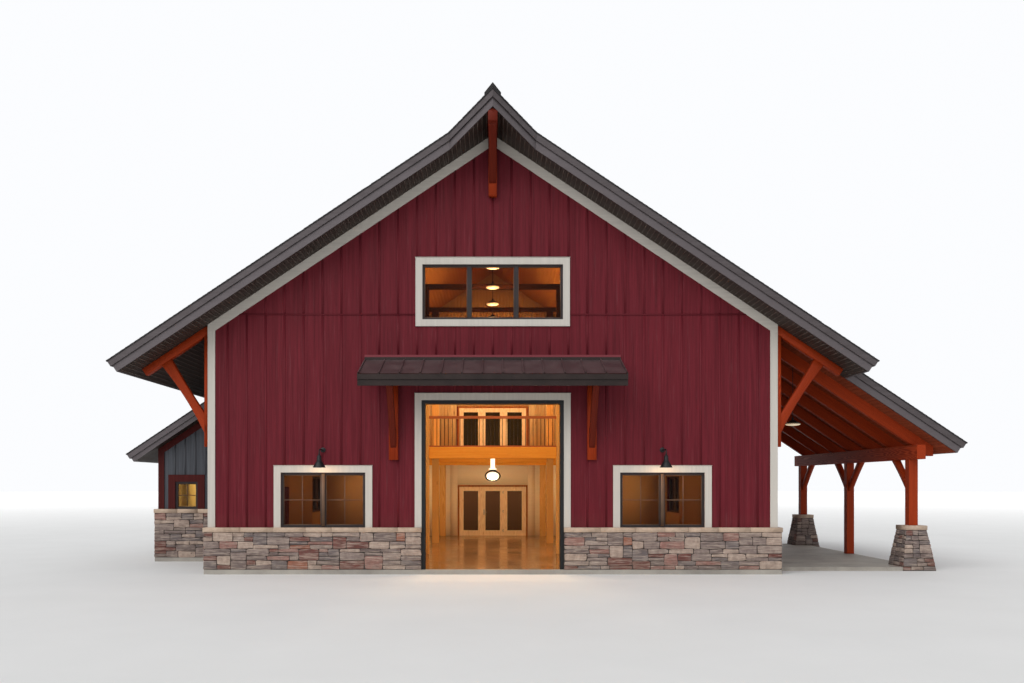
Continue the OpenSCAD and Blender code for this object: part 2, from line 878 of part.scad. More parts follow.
// Boards round both units, on the inner and the outer face of the wall
module patio_casings() {
    color(wing_red) for (z = [floor_h, loft_top], y = [inner_y, hd + unit_casing_t])
        translate([0, y, z]) casing(unit_w, 0, unit_h, unit_casing, unit_casing_t);
}

module window_glass() {
    z = floor_h + gable_win_z;
    color(clear) {
        each_window() panes(win_w, win_h, 2, win_bar, win_post, cap_top);
        both_ends() on_front() panes(gable_win_w, gable_win_h, 3, gable_bar, gable_post, z);
        each_wing_window() panes(wing_win_w, wing_win_h, 1, win_bar, win_post, wing_cap_top);
        for (i = [-1, 1]) translate([i * (panel_w + unit_bar), 0, floor_h]) panel_glass();
        for (i = [-1 : 1]) translate([i * (panel_w + unit_bar), 0, loft_top]) panel_glass();
    }
}

module back_door_leaf() {
    color(honey) translate([0, 0, floor_h]) difference() {
        block([-panel_w / 2 + leaf_gap, inner_y, sill_h + leaf_gap],
            [panel_w / 2 - leaf_gap, inner_y + leaf_t, sill_h + panel_h - leaf_gap]);
        panel_hole();
    }
}

module back_door_glass() {
    color(clear) translate([0, 0, floor_h]) panel_glass();
}

// The three hinge places, from the foot of each
module hinge_places() {
    for (z = [stile_w, (panel_h - hinge_h) / 2, panel_h - stile_w - hinge_h])
        translate([hinge_x, hinge_y, floor_h + sill_h + z]) children();
}

// A flap of a hinge on the face of a panel or post, to the side s
module flap(s, z0, z1) {
    w = 2 * knuckle_r + leaf_gap;
    translate([s > 0 ? leaf_gap / 2 : -w, knuckle_r - pin_r, z0]) cube([w - leaf_gap / 2, pin_r, z1 - z0]);
}

module frame_hinges() {
    end = hinge_h * knuckle_share;
    color(dark) hinge_places() {
        cylinder(r = pin_r, h = hinge_h);
        for (z = [0, hinge_h - end]) {
            translate([0, 0, z]) cylinder(r = knuckle_r, h = end);
            flap(1, z, z + end);
        }
    }
}

module leaf_knuckle() {
    end = hinge_h * knuckle_share + 2 * pin_gap;
    difference() {
        union() {
            translate([0, 0, end]) cylinder(r = knuckle_r, h = hinge_h - 2 * end);
            flap(-1, end, hinge_h - end);
        }
        cylinder(r = pin_r + pin_gap, h = hinge_h);
    }
}

// A lever handle on a face whose outward side is -y
module lever() {
    block([-plate_w / 2, -plate_t, -plate_h / 2], [plate_w / 2, 0, plate_h / 2]);
    rotate([90, 0, 0]) cylinder(r = lever_r + eps, h = lever_out + lever_r);
    translate([0, -lever_out, 0]) rotate([0, 90, 0]) cylinder(r = lever_r, h = lever_l);
}

module back_door_hardware() {
    x = -panel_w / 2 + leaf_gap + stile_w / 2;
    color(dark) {
        hinge_places() leaf_knuckle();
        translate([x, inner_y, floor_h + handle_z]) lever();
        translate([x, inner_y + leaf_t, floor_h + handle_z]) mirror([0, 1, 0]) lever();
    }
}

module roof_right() {
    color(honey) main_layer(core_in, roofing_t + sit, core_bottom);
}

module roof_left() {
    color(honey) mirror([1, 0, 0]) main_layer(core_in, roofing_t + sit, core_bottom);
}

module porch_roof() {
    color(stained) porch_layer(core_in, core_in, roofing_t + sit, core_bottom);
}

module wing_roof() {
    color(bronze) wing_layer(core_in, roofing_t + sit, wing_roof_t);
}

module roofing() {
    color(bronze) {
        both_sides() main_layer(0, 0, roofing_t);
        porch_layer(0, 0, 0, roofing_t);
        wing_layer(0, 0, roofing_t);
    }
}

// The two fascia bands round the right half of the main roof, mitred round the prow
module main_bands() {
    difference() {
        union() {
            main_layer(drip, roofing_t + sit, band_h);
            main_layer(drip + band_step, band_h, roof_t);
        }
        both_sides() main_layer(core_in - sit, 0, 2 * roof_t);
    }
}

module porch_bands() {
    difference() {
        union() {
            porch_layer(drip, drip, roofing_t + sit, band_h);
            porch_layer(drip + band_step, drip + band_step, band_h, roof_t);
        }
        porch_layer(2 * core_in, core_in - sit, 0, 2 * roof_t);
    }
}

module wing_bands() {
    difference() {
        union() {
            wing_layer(drip, roofing_t + sit, band_h);
            wing_layer(drip + band_step, band_h, wing_roof_t);
        }
        wing_layer(core_in - sit, 0, 2 * wing_roof_t);
    }
}

module roof_fascia() {
    color(bronze) {
        mirror([1, 0, 0]) main_bands();
        difference() {
            main_bands();
            block([main_edge - 3 * roof_t, porch_y0 + core_in, 0],
                [main_edge + roof_t, porch_y1 - core_in, top_ridge]);
        }
        porch_bands();
        wing_bands();
    }
}

module soffits() {
    color(dark) difference() {
        both_sides() main_layer(core_in, core_bottom, roof_t);
        block([-hw, -hd, 0], [hw, hd, 2 * top_ridge]);
        block([hw - eps, porch_y0 + core_in, 0], [far, porch_y1 - core_in, 2 * top_ridge]);
    }
}

// Boards over the porch, from the barn's wall to the porch's eave
module porch_ceiling() {
    color(stained) intersection() {
        union() {
            main_layer(core_in, core_bottom, roof_t);
            porch_layer(core_in, core_in, core_bottom, roof_t);
        }
        block([hw, porch_y0 + core_in, 0], [far, porch_y1 - core_in, top_ridge]);
    }
}

module ridge_cap() {
    x = cap_side * cos(pitch);
    z = cap_rise / cos(pitch);
    edge = cap_edge / cos(pitch);
    foot = sit / cos(pitch);
    tip = rake_y + prow_out;
    color(bronze) both_sides() intersection() {
        along_y(-far, far) polygon([
            [0, top_ridge + foot], [x, top_at(x) + foot], [x, top_at(x) + edge], [0, top_ridge + z]
        ]);
        linear_extrude(2 * top_ridge) polygon([
            [0, -tip], [x, -tip + x * tan(prow_turn)], [x, tip - x * tan(prow_turn)], [0, tip]
        ]);
    }
}

// Height of the awning's top and of what lies under its deck, v out from the siding
function awning_at(v) = floor_h + awning_top - v * awning_fall / awning_out;
function under_awning(v) = awning_at(v) - awning_deck - sit;

module awning_roof() {
    front = awning_at(awning_out);
    band = front - awning_band;
    back = awning_out - 2 * fascia_t;
    step = awning_out - fascia_t;
    n = round(awning_w / seam_gap);
    color(bronze) on_front() {
        mirror([0, 1, 0]) along_x(-awning_w / 2, awning_w / 2) {
            polygon([
                [0, awning_at(0)], [awning_out, front], [awning_out, front - awning_deck],
                [0, awning_at(0) - awning_deck]
            ]);
            polygon([[back, front - awning_deck], [back, band], [awning_out, band], [awning_out, front]]);
            polygon([
                [back, front], [back, band - awning_low_band], [step, band - awning_low_band], [step, front]
            ]);
        }
        mirror([0, 1, 0]) for (i = [0 : n]) {
            x = -awning_w / 2 + i * (awning_w - seam_w) / n;
            along_x(x, x + seam_w) polygon([[0, awning_at(0) - eps], [0, awning_at(0) + seam_h],
                [awning_out, front + seam_h], [awning_out, front - eps]]);
        }
        block([-awning_w / 2, -flash_t, awning_at(flash_t)], [awning_w / 2, 0, awning_at(0) + flash_h]);
    }
}

module awning_bracket() {
    foot = floor_h + bracket_z;
    reach = awning_out - 2 * fascia_t - sit;
    head = reach - arm_end;
    in_arm = arm_d / 2;
    mirror([0, 1, 0]) {
        along_x(-bracket_w / 2, bracket_w / 2) {
            polygon([[0, foot], [wall_post, foot], [wall_post, under_awning(wall_post) - in_arm],
                [0, under_awning(0) - in_arm]]);
            polygon([[0, under_awning(0)], [reach, under_awning(reach)],
                [reach, under_awning(reach) - arm_d], [0, under_awning(0) - arm_d]]);
        }
        along_x(-bracket_brace_w / 2, bracket_brace_w / 2) intersection() {
            curved_brace([wall_post, foot + brace_foot], [head, under_awning(head) - arm_d], brace_d);
            polygon([[0, foot], [reach, foot], [reach, under_awning(reach) - in_arm],
                [0, under_awning(0) - in_arm]]);
        }
    }
}

module awning_brackets() {
    color(stained) on_front() for (x = [-bracket_x, bracket_x]) translate([x, 0, 0]) awning_bracket();
}

// Bracket under the prow: a post on the gable, the ridge beam's end and a curved brace
module prow_bracket() {
    foot = floor_h + prow_foot;
    beam = under(0) - ridge_beam_h;
    on_front() {
        mirror([0, 1, 0]) along_x(-prow_timber / 2, prow_timber / 2) {
            polygon([[0, foot], [2 * wall_post, foot], [2 * wall_post, beam + eps], [0, beam + eps]]);
            curved_brace([2 * wall_post, foot + brace_foot], [ridge_reach - prow_brace_head, beam], brace_d);
        }
        intersection() {
            block([-ridge_beam_w / 2, -ridge_reach, beam], [ridge_beam_w / 2, 0, top_ridge]);
            below_roof();
        }
    }
}

module prow_brackets() {
    color(stained) both_ends() prow_bracket();
}

// Bracket under an eave, at the barn's right front corner
module eave_bracket() {
    x0 = hw + trim_t;
    x1 = hw + eave_reach;
    v = eave_rafter / cos(pitch);
    foot = floor_h + eave_foot;
    head = x1 - eave_brace_head;
    mid = v / 2;
    along_y(-hd, -hd + eave_timber) {
        polygon([[x0, foot], [x0 + wall_post, foot], [x0 + wall_post, under(x0 + wall_post) - mid],
            [x0, under(x0) - mid]]);
        polygon([[x0, under(x0)], [x1, under(x1)], [x1 - eave_rafter * sin(pitch),
            under(x1) - eave_rafter * cos(pitch)], [x0, under(x0) - v]]);
        intersection() {
            curved_brace([x0 + wall_post, foot + eave_brace_foot], [head, under(head) - v], eave_brace_d,
                eave_brace_bow);
            polygon([[x0, foot], [x1, foot], [x1, under(x1) - mid], [x0, under(x0) - mid]]);
        }
    }
}

module eave_brackets() {
    color(stained) both_ends() both_sides() eave_bracket();
}

// A pier that tapers on all four sides
module pier() {
    side = [[-pier_base / 2, 0], [pier_base / 2, 0], [pier_top / 2, cap_top - cap_h],
        [-pier_top / 2, cap_top - cap_h]];
    intersection() {
        along_y(-pier_base, pier_base) polygon(side);
        along_x(-pier_base, pier_base) polygon(side);
    }
}

module porch_piers() {
    color(stone) pier_places() pier();
}

module porch_posts() {
    half = porch_post / 2;
    color(stained) for (i = [0 : 2]) translate([porch_x, porch_post_y[i], 0])
        block([-half, -half, i == 1 ? porch_slab_t : cap_top], [half, half, beam_top - porch_beam_h]);
}

module porch_beam() {
    half = porch_post / 2;
    run = porch_rake - core_in - half;
    color(stained) block([porch_x - half, porch_post_y[0] - run, beam_top - porch_beam_h],
        [porch_x + half, porch_post_y[2] + run, beam_top]);
}

// A knee brace from a post to the beam, towards +y from a post's centre
module knee() {
    half = porch_post / 2;
    z = beam_top - porch_beam_h;
    along_x(porch_x - rafter_w / 2, porch_x + rafter_w / 2) intersection() {
        curved_brace([half, z - knee_leg], [half + knee_leg, z], brace_d);
        polygon([[half, z], [half, z - 2 * knee_leg], [half + 2 * knee_leg, z]]);
    }
}

module porch_braces() {
    color(stained) for (i = [0, 1]) {
        translate([0, porch_post_y[i], 0]) knee();
        translate([0, porch_post_y[i + 1], 0]) mirror([0, 1, 0]) knee();
    }
}

module porch_rafters() {
    x0 = hw;
    x1 = porch_x + tail_out;
    v = rafter_d / cos(pitch);
    level = under(x1) - tail_share * v;
    turn = x1 - (1 - tail_share) * v / slope;
    n = 2 * rafters_bay;
    step = (porch_post_y[2] - porch_post_y[0]) / n;
    color(stained) difference() {
        for (i = [0 : n]) {
            y = porch_post_y[0] + i * step;
            along_y(y - rafter_w / 2, y + rafter_w / 2) polygon([
                [x0, under(x0)], [x1, under(x1)], [x1, level], [turn, level], [x0, under(x0) - v]
            ]);
        }
        porch_beam();
    }
}

module post_outline() {
    square(hall_post, center = true);
}

module hall_posts() {
    back = inner_y - hall_post / 2;
    color(honey) for (s = [-1, 1]) {
        for (i = [0, 1]) translate([s * post_x, bent_y[i], floor_h])
            linear_extrude(tie_z[i]) post_outline();
        translate([s * post_x, back, floor_h]) linear_extrude(loft_h - loft_beam_h) post_outline();
    }
}

// Three beams in one line, between the side walls and the two rows of posts
module beam_line(y0, y1, z0, z1) {
    half = hall_post / 2;
    block([-post_x + half, y0, z0], [post_x - half, y1, z1]);
    both_sides() block([post_x + half, y0, z0], [hw - wall_t, y1, z1]);
}

// A tie beam from slope to slope over the frame at y, its ends cut to the roof
module tie_beam(y, z) {
    half = loft_beam_w / 2;
    low = (wall_top(0) - z) / slope;
    high = (wall_top(0) - z - tie_h) / slope;
    along_y(y - half, y + half) polygon([[-low, z], [low, z], [high, z + tie_h], [-high, z + tie_h]]);
}

module hall_beams() {
    half = loft_beam_w / 2;
    under_floor = loft_top - loft_t;
    color(honey) {
        beam_line(bent_y[0] - half, bent_y[0] + half, loft_top - loft_beam_h, loft_top);
        beam_line(bent_y[1] - half, bent_y[1] + half, loft_top - loft_beam_h, under_floor);
        block([-hw + wall_t, inner_y - hall_post, loft_top - loft_beam_h],
            [hw - wall_t, inner_y, under_floor]);
        for (i = [0, 1]) tie_beam(bent_y[i], floor_h + tie_z[i]);
    }
}

module loft_floor() {
    color(honey) difference() {
        block([-hw + wall_t, bent_y[0] + loft_beam_w / 2, loft_top - loft_t],
            [hw - wall_t, inner_y, loft_top]);
        for (s = [-1, 1]) for (y = bent_y) translate([s * post_x, y, 0])
            linear_extrude(top_ridge) post_outline();
    }
}

// A stretch of the loft's railing from x0 to x1
module rail_span(x0, x1) {
    y = bent_y[0];
    top = loft_top + loft_rail_h;
    n = round((x1 - x0) / baluster_gap);
    step = (x1 - x0) / n;
    foot = loft_top + foot_rail_z;
    half = baluster_w / 2;
    block([x0, y - hand_rail_w / 2, top - hand_rail_t], [x1, y + hand_rail_w / 2, top]);
    block([x0, y - foot_rail / 2, foot], [x1, y + foot_rail / 2, foot + foot_rail]);
    for (i = [1 : n - 1]) translate([x0 + i * step, y, 0])
        block([-half, -half, foot + foot_rail - eps], [half, half, top - hand_rail_t + eps]);
}

module loft_railing() {
    half = hall_post / 2;
    color(honey) {
        rail_span(-post_x + half, post_x - half);
        both_sides() rail_span(post_x + half, hw - wall_t);
    }
}

// A wall lamp on a bent tube, in a wall's own frame
module barn_light() {
    rim = shade_w / 2;
    neck = 0.36 * rim;
    shoulder = 0.42 * rim;
    rotate([90, 0, 0]) cylinder(r = rose_r, h = rose_t);
    rotate([90, 0, 0]) cylinder(r = tube_r, h = lamp_out - bend_r);
    translate([0, bend_r - lamp_out, -bend_r]) rotate([90, 0, -90]) rotate_extrude(angle = 90)
        translate([bend_r, 0]) circle(r = tube_r);
    translate([0, -lamp_out, -bend_r - shade_h]) rotate_extrude() polygon([
        [0, shade_h], [2 * tube_r, shade_h], [2 * tube_r, 0.88 * shade_h], [neck, 0.8 * shade_h],
        [neck, 0.5 * shade_h], [shoulder, 0.45 * shade_h], [rim, shade_t], [rim, 0], [rim - shade_t, 0],
        [shoulder - shade_t, 0.45 * shade_h - shade_t], [0, 0.45 * shade_h - shade_t]
    ]);
}

module barn_lights() {
    color(dark) both_ends() both_sides() on_front() translate([win_x, 0, floor_h + lamp_z]) barn_light();
}

// A dish pendant whose rim is at z, on a stem that ends at top
module dish(z, top) {
    r = dish_w / 2;
    neck = 3 * tube_r;
    translate([0, 0, z]) {
        rotate_extrude() polygon([
            [0, dish_h], [neck, dish_h], [neck, 0.6 * dish_h], [0.6 * r, 0.45 * dish_h], [r, shade_t],
            [r, 0], [r - shade_t, 0], [0.6 * r, 0.45 * dish_h - shade_t], [0, 0.5 * dish_h]
        ]);
        translate([0, 0, dish_h - eps]) cylinder(r = tube_r, h = top - z - dish_h + eps);
    }
}

module pendant_lights() {
    step = hall_bay / 2;
    peak = wall_top(0) - tube_r * slope;
    lamp_x = hw + porch_dish_x;
    color(dark) {
        for (i = [0 : 4]) translate([0, -hd + dish_first + i * step, 0]) dish(floor_h + dish_z, peak);
        for (y = [porch_post_y[0] + porch_bay / 6, porch_post_y[1] + porch_bay / 2]) translate([lamp_x, y, 0])
            dish(floor_h + porch_dish_z, under(lamp_x) - tube_r * slope);
        translate([0, -hd + globe_y, floor_h + globe_z]) {
            rotate_extrude() polygon(
                [for (a = [-90 : 15 : 90]) [globe_w / 2 * cos(a), globe_h / 2 * sin(a)]]);
            cylinder(r = tube_r, h = loft_h - loft_t - globe_z);
        }
    }
}

floor_slab();
porch_slab();
end_stone();
side_stone();
wing_stone();
stone_caps();
front_wall_left();
front_wall_right();
front_gable();
left_wall();
right_wall();
back_wall_left();
back_wall_right();
back_gable();
wing_end_walls();
wing_side_wall();
corner_boards();
rake_friezes();
door_casing();
door_jamb();
window_casings();
wing_trim();
window_frames();
window_glass();
patio_frames();
patio_casings();
back_door_leaf();
back_door_glass();
back_door_hardware();
frame_hinges();
roof_left();
roof_right();
roofing();
roof_fascia();
soffits();
ridge_cap();
porch_roof();
porch_ceiling();
wing_roof();
awning_roof();
awning_brackets();
prow_brackets();
eave_brackets();
porch_piers();
porch_posts();
porch_beam();
porch_braces();
porch_rafters();
hall_posts();
hall_beams();
loft_floor();
loft_railing();
barn_lights();
pendant_lights();
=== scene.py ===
import math

import bpy
import numpy as np
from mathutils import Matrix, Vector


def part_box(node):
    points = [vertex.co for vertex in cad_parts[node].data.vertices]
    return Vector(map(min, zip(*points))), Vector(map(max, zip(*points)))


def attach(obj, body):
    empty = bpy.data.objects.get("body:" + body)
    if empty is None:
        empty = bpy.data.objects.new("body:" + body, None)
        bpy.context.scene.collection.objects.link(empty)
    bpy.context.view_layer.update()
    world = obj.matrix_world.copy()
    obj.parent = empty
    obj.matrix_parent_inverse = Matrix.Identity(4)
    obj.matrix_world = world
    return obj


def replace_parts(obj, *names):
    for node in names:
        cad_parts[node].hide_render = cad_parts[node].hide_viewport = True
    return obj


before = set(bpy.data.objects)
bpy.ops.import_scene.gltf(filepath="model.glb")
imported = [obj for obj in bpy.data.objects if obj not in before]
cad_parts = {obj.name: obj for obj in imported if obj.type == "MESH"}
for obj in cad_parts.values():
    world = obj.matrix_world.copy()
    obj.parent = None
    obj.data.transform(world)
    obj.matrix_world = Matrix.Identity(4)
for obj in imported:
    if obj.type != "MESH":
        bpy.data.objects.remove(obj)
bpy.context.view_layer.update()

# Looks of the red barn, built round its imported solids. All sizes are metres: +X runs to the right
# seen from the front, +Y to the back and +Z up from the ground.

# Places read from the frame
half_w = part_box("front_gable")[1].x
half_d = -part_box("front_gable")[0].y
wall_in_y = -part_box("front_gable")[1].y
wall_t = half_d - wall_in_y
floor_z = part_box("floor_slab")[1].z
cap_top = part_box("door_casing")[0].z
stone_out = -half_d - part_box("end_stone")[0].y
stone_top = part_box("end_stone")[1].z
cap_out = -half_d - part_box("stone_caps")[0].y
ridge_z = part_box("roofing")[1].z
rake_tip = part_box("roofing")[1].y
jamb_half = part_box("door_jamb")[1].x
jamb_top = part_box("door_jamb")[1].z
casing_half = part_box("door_casing")[1].x
casing_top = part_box("door_casing")[1].z
wing_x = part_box("wing_side_wall")[0].x
wing_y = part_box("wing_end_walls")[1].y
wing_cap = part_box("stone_caps")[1].z
loft_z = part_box("loft_floor")[1].z
loft_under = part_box("loft_floor")[0].z
loft_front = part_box("loft_floor")[0].y
post_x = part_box("porch_posts")[1].x
awning_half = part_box("awning_roof")[1].x

# Driving dimensions that the part's source also has, first of the roofs
slope = 8 / 12
pitch = math.atan(slope)
roof_t = 0.35
soffit_t = 0.02
fascia_in = 0.095
eave_over = 2.245
rake_over = 0.914
prow_half = 1.09
prow_out = 0.85
wing_slope = 8 / 12
wing_top = 5.55
wing_roof_t = 0.30
wing_rake = 0.45
awning_out = 1.24
awning_fall = 0.53

# Trim, windows and doors
frieze_h = 0.23
trim_t = 0.025
casing_w = 0.178
window_w = 2.18
window_h = 1.415
window_x = 4.37
left_window_y = 5.485
window_bar = 0.06
window_post = 0.13
gable_w = 3.62
gable_h = 1.415
gable_z = 6.56
gable_bar = 0.05
gable_post = 0.105
glass_y = 0.065
unit_h = 2.083
wing_window_w = 0.67
wing_window_h = 0.82
wing_window_x = -9.2
passage_half = 0.5
passage_h = 2.1
belt_z = 6.69
belt_h = 0.03
rail_t = 0.085
shoe_t = 0.05

# Brackets, piers and lamps
awning_bracket_x = 2.55
awning_foot_z = 2.94
prow_foot_z = 9.69
eave_foot_z = 3.28
pier_head = 0.2725
pier_cap = 0.29
lamp_ys = [-5.485 + 2.44 * k for k in range(5)]
hall_lamp_z = 8.37
porch_lamp_x = 8.4
porch_lamp_ys = (-5.4175, 0.0025)
porch_lamp_z = 3.99
globe_y = -0.815
globe_z = 2.57

# What follows from them
main_edge = half_w + eave_over
inner_w = half_w - wall_t
roof_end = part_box("roofing")[1].x
wing_end = -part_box("roofing")[0].x
porch_x = (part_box("porch_posts")[0].x + post_x) / 2
post_half = (post_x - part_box("porch_posts")[0].x) / 2
pier_y = (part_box("porch_posts")[0].y + post_half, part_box("porch_posts")[1].y - post_half)
pier_foot = -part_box("porch_piers")[0].x + porch_x

chance = np.random.default_rng(48)


def top_at(x):
    """Height of the main roof's top plane: the ridge less the slope times the distance from it."""
    return ridge_z - np.abs(x) * slope


def under(x):
    """Height of the soffit plane, one roof thickness below the top, square to the slope."""
    return top_at(x) - roof_t / math.cos(pitch)


def srgb(red, green, blue):
    """Linear colour of a screen colour from 0 to 255."""
    c = np.array([red, green, blue]) / 255
    linear = np.where(c <= 0.04045, c / 12.92, ((c + 0.055) / 1.055) ** 2.4)
    return (*(float(v) for v in linear), 1.0)


# Shapes. A shape is a dict of points, a list of face arrays, a list of matching UV arrays and one
# tone for each point. UVs are metres along and across a piece.


def tubes(rings, tones=None):
    """Closed solids carried along a path: rings is (count, steps, points, 3). Equal points of two
    rings one step apart are joined by a face, and the first and last rings are closed by one face.
    A tube whose rings run the wrong way round is turned so that its faces point outwards."""
    rings = np.array(rings, float)
    count, steps, around, _ = rings.shape
    first = rings[:, 0]
    centre = first.mean(1)
    spokes = first - centre[:, None]
    area = np.cross(spokes, np.roll(spokes, -1, 1)).sum(1)
    onward = rings[:, 1].mean(1) - centre
    wrong = (area * onward).sum(1) < 0
    rings[wrong] = rings[wrong][:, :, ::-1]
    middles = rings.mean(2)
    along = np.concatenate([np.zeros((count, 1)), np.cumsum(
        np.linalg.norm(np.diff(middles, axis=1), axis=2), 1)], 1)
    girth = np.concatenate([np.zeros((count, 1)), np.cumsum(
        np.linalg.norm(np.roll(rings[:, 0], -1, 1) - rings[:, 0], axis=2), 1)], 1)
    start = chance.uniform(0, 20, (count, 2))
    i, s, k = np.meshgrid(np.arange(count), np.arange(steps - 1), np.arange(around), indexing="ij")
    base = (i * steps + s) * around
    after = (k + 1) % around
    sides = np.stack([base + k, base + after, base + around + after, base + around + k], -1)
    u = np.stack([along[i, s], along[i, s], along[i, s + 1], along[i, s + 1]], -1) + start[i, :1]
    v = np.stack([girth[i, k], girth[i, k + 1], girth[i, k + 1], girth[i, k]], -1) + start[i, 1:]
    foot = np.arange(count)[:, None] * steps * around
    ring = np.arange(around)[None]
    ends = np.concatenate([foot + ring[:, ::-1], foot + (steps - 1) * around + ring])
    flat = np.concatenate([girth[:, -2::-1], girth[:, :-1]])
    points = rings.reshape(-1, 3)
    tones = chance.uniform(0, 1, count) if tones is None else np.asarray(tones, float)
    return {
        "points": points,
        "faces": [sides.reshape(-1, 4), ends],
        "uvs": [np.stack([u, v], -1).reshape(-1, 2), np.stack([flat, flat], -1).reshape(-1, 2)],
        "tones": np.repeat(tones, steps * around),
    }


def joined(*shapes):
    """One shape from several, with their faces renumbered."""
    offset = np.cumsum([0] + [len(s["points"]) for s in shapes])
    return {
        "points": np.concatenate([s["points"] for s in shapes]),
        "faces": [f + o for s, o in zip(shapes, offset) for f in s["faces"]],
        "uvs": [uv for s in shapes for uv in s["uvs"]],
        "tones": np.concatenate([s["tones"] for s in shapes]),
    }


def moved(shape, change):
    """The shape with change(points) as its points."""
    return {**shape, "points": change(shape["points"].copy())}


def section(width, height, chamfer):
    """A rectangle about its middle with cut corners, as eight points, or four without a chamfer."""
    a, b, c = width / 2, height / 2, chamfer
    if c == 0:
        return np.array([[a, -b], [a, b], [-a, b], [-a, -b]])
    return np.array([[a - c, -b], [a, c - b], [a, b - c], [a - c, b],
                     [c - a, b], [-a, b - c], [-a, c - b], [c - a, -b]])


def bars(a, b, u, v, profile):
    """Straight bars from points a to points b: the profile's numbers times u and v stand round each
    end, and u and v are unit vectors square to the bar."""
    a, b = np.atleast_2d(a).astype(float), np.atleast_2d(b).astype(float)
    count = max(len(a), len(b))
    a, b = np.broadcast_to(a, (count, 3)), np.broadcast_to(b, (count, 3))
    u, v = np.broadcast_to(u, (count, 3)), np.broadcast_to(v, (count, 3))
    round_it = profile[None, :, :1] * u[:, None] + profile[None, :, 1:] * v[:, None]
    return tubes(np.stack([a[:, None] + round_it, b[:, None] + round_it], 1))


def lathe(profile, centre, turns=32):
    """A profile of radius and height turned round a vertical line through the centre."""
    profile = np.asarray(profile, float)
    angle = np.arange(turns) * 2 * math.pi / turns
    ring = np.stack([np.cos(angle), np.sin(angle)], -1)
    rings = np.empty((1, len(profile), turns, 3))
    rings[0, :, :, :2] = profile[:, None, :1] * ring[None]
    rings[0, :, :, 2] = profile[:, None, 1]
    return tubes(rings + np.asarray(centre, float))


def piece(name, shape, material, body="barn", smooth=None):
    """Puts a shape into Blender as one piece that rides on a CAD body. Its UV map is named grain and
    its tones are the attribute tone. An angle in smooth rounds the shading below that angle."""
    mesh = bpy.data.meshes.new(name)
    faces = shape["faces"]
    loops = np.concatenate([f.ravel() for f in faces]).astype(np.int32)
    totals = np.concatenate([np.full(len(f), f.shape[1]) for f in faces])
    starts = np.concatenate([[0], np.cumsum(totals)[:-1]]).astype(np.int32)
    mesh.vertices.add(len(shape["points"]))
    mesh.vertices.foreach_set("co", shape["points"].astype(np.float32).ravel())
    mesh.loops.add(len(loops))
    mesh.loops.foreach_set("vertex_index", loops)
    mesh.polygons.add(len(totals))
    mesh.polygons.foreach_set("loop_start", starts)
    mesh.update(calc_edges=True)
    grain = mesh.uv_layers.new(name="grain")
    grain.data.foreach_set("uv", np.concatenate(shape["uvs"]).astype(np.float32).ravel())
    tone = mesh.attributes.new("tone", "FLOAT", "POINT")
    tone.data.foreach_set("value", shape["tones"].astype(np.float32))
    mesh.materials.append(material)
    made = bpy.data.objects.new(name, mesh)
    bpy.context.scene.collection.objects.link(made)
    if smooth is not None:
        mesh.shade_smooth()
        mesh.set_sharp_from_angle(angle=math.radians(smooth))
    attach(made, body)
    return made


# Node trees


def feed(tree, socket, value):
    """Links a socket to an input, or sets the input to a value."""
    if isinstance(value, bpy.types.NodeSocket):
        tree.links.new(value, socket)
    else:
        socket.default_value = value


def add(tree, kind, inputs=None, **settings):
    """A node with its settings, and with each input given as a value or as a socket to link."""
    made = tree.nodes.new(kind)
    for key, value in settings.items():
        setattr(made, key, value)
    for key, value in (inputs or {}).items():
        feed(tree, made.inputs[key], value)
    return made


def calc(tree, kind, a, b=0.0, c=0.0):
    """The result of one sum on numbers or sockets."""
    return add(tree, "ShaderNodeMath", {0: a, 1: b, 2: c}, operation=kind).outputs[0]


def mix(tree, share, a, b):
    """Colour a where share is 0 and colour b where it is 1."""
    made = add(tree, "ShaderNodeMix", {"Factor": share, 6: a, 7: b}, data_type="RGBA")
    return made.outputs[2]


def parts_of(tree, vector):
    """The X, Y and Z of a vector."""
    return add(tree, "ShaderNodeSeparateXYZ", {0: vector}).outputs


def spread(tree, value, low, high, to_low=0.0, to_high=1.0):
    """A value from low to high, carried to the range from to_low to to_high and held there."""
    return add(tree, "ShaderNodeMapRange", {
        "Value": value, "From Min": low, "From Max": high, "To Min": to_low, "To Max": to_high,
    }).outputs["Result"]


def stretched(tree, vector, scale):
    """The vector times a scale for each direction."""
    return add(tree, "ShaderNodeVectorMath", {0: vector, 1: scale}, operation="MULTIPLY").outputs[0]


def noise(tree, vector, scale, detail=3.0, rough=0.5, bend=0.0):
    """Cloudy noise from 0 to 1, about 0.5 on average."""
    return add(tree, "ShaderNodeTexNoise", {
        "Vector": vector, "Scale": scale, "Detail": detail, "Roughness": rough, "Distortion": bend,
    }).outputs["Fac"]


def new_group(name, inputs, outputs):
    """An empty node group with the named sockets, its input node and its output node."""
    tree = bpy.data.node_groups.new(name, "ShaderNodeTree")
    kinds = {"vector": "NodeSocketVector", "value": "NodeSocketFloat"}
    for label, kind in inputs:
        tree.interface.new_socket(label, in_out="INPUT", socket_type=kinds[kind])
    for label, kind in outputs:
        tree.interface.new_socket(label, in_out="OUTPUT", socket_type=kinds[kind])
    return tree, add(tree, "NodeGroupInput").outputs, add(tree, "NodeGroupOutput")


def finish_group(tree, out, **results):
    """The group with each result linked to the output of its name."""
    for label, socket in results.items():
        tree.links.new(socket, out.inputs[label.replace("_", " ")])
    return tree


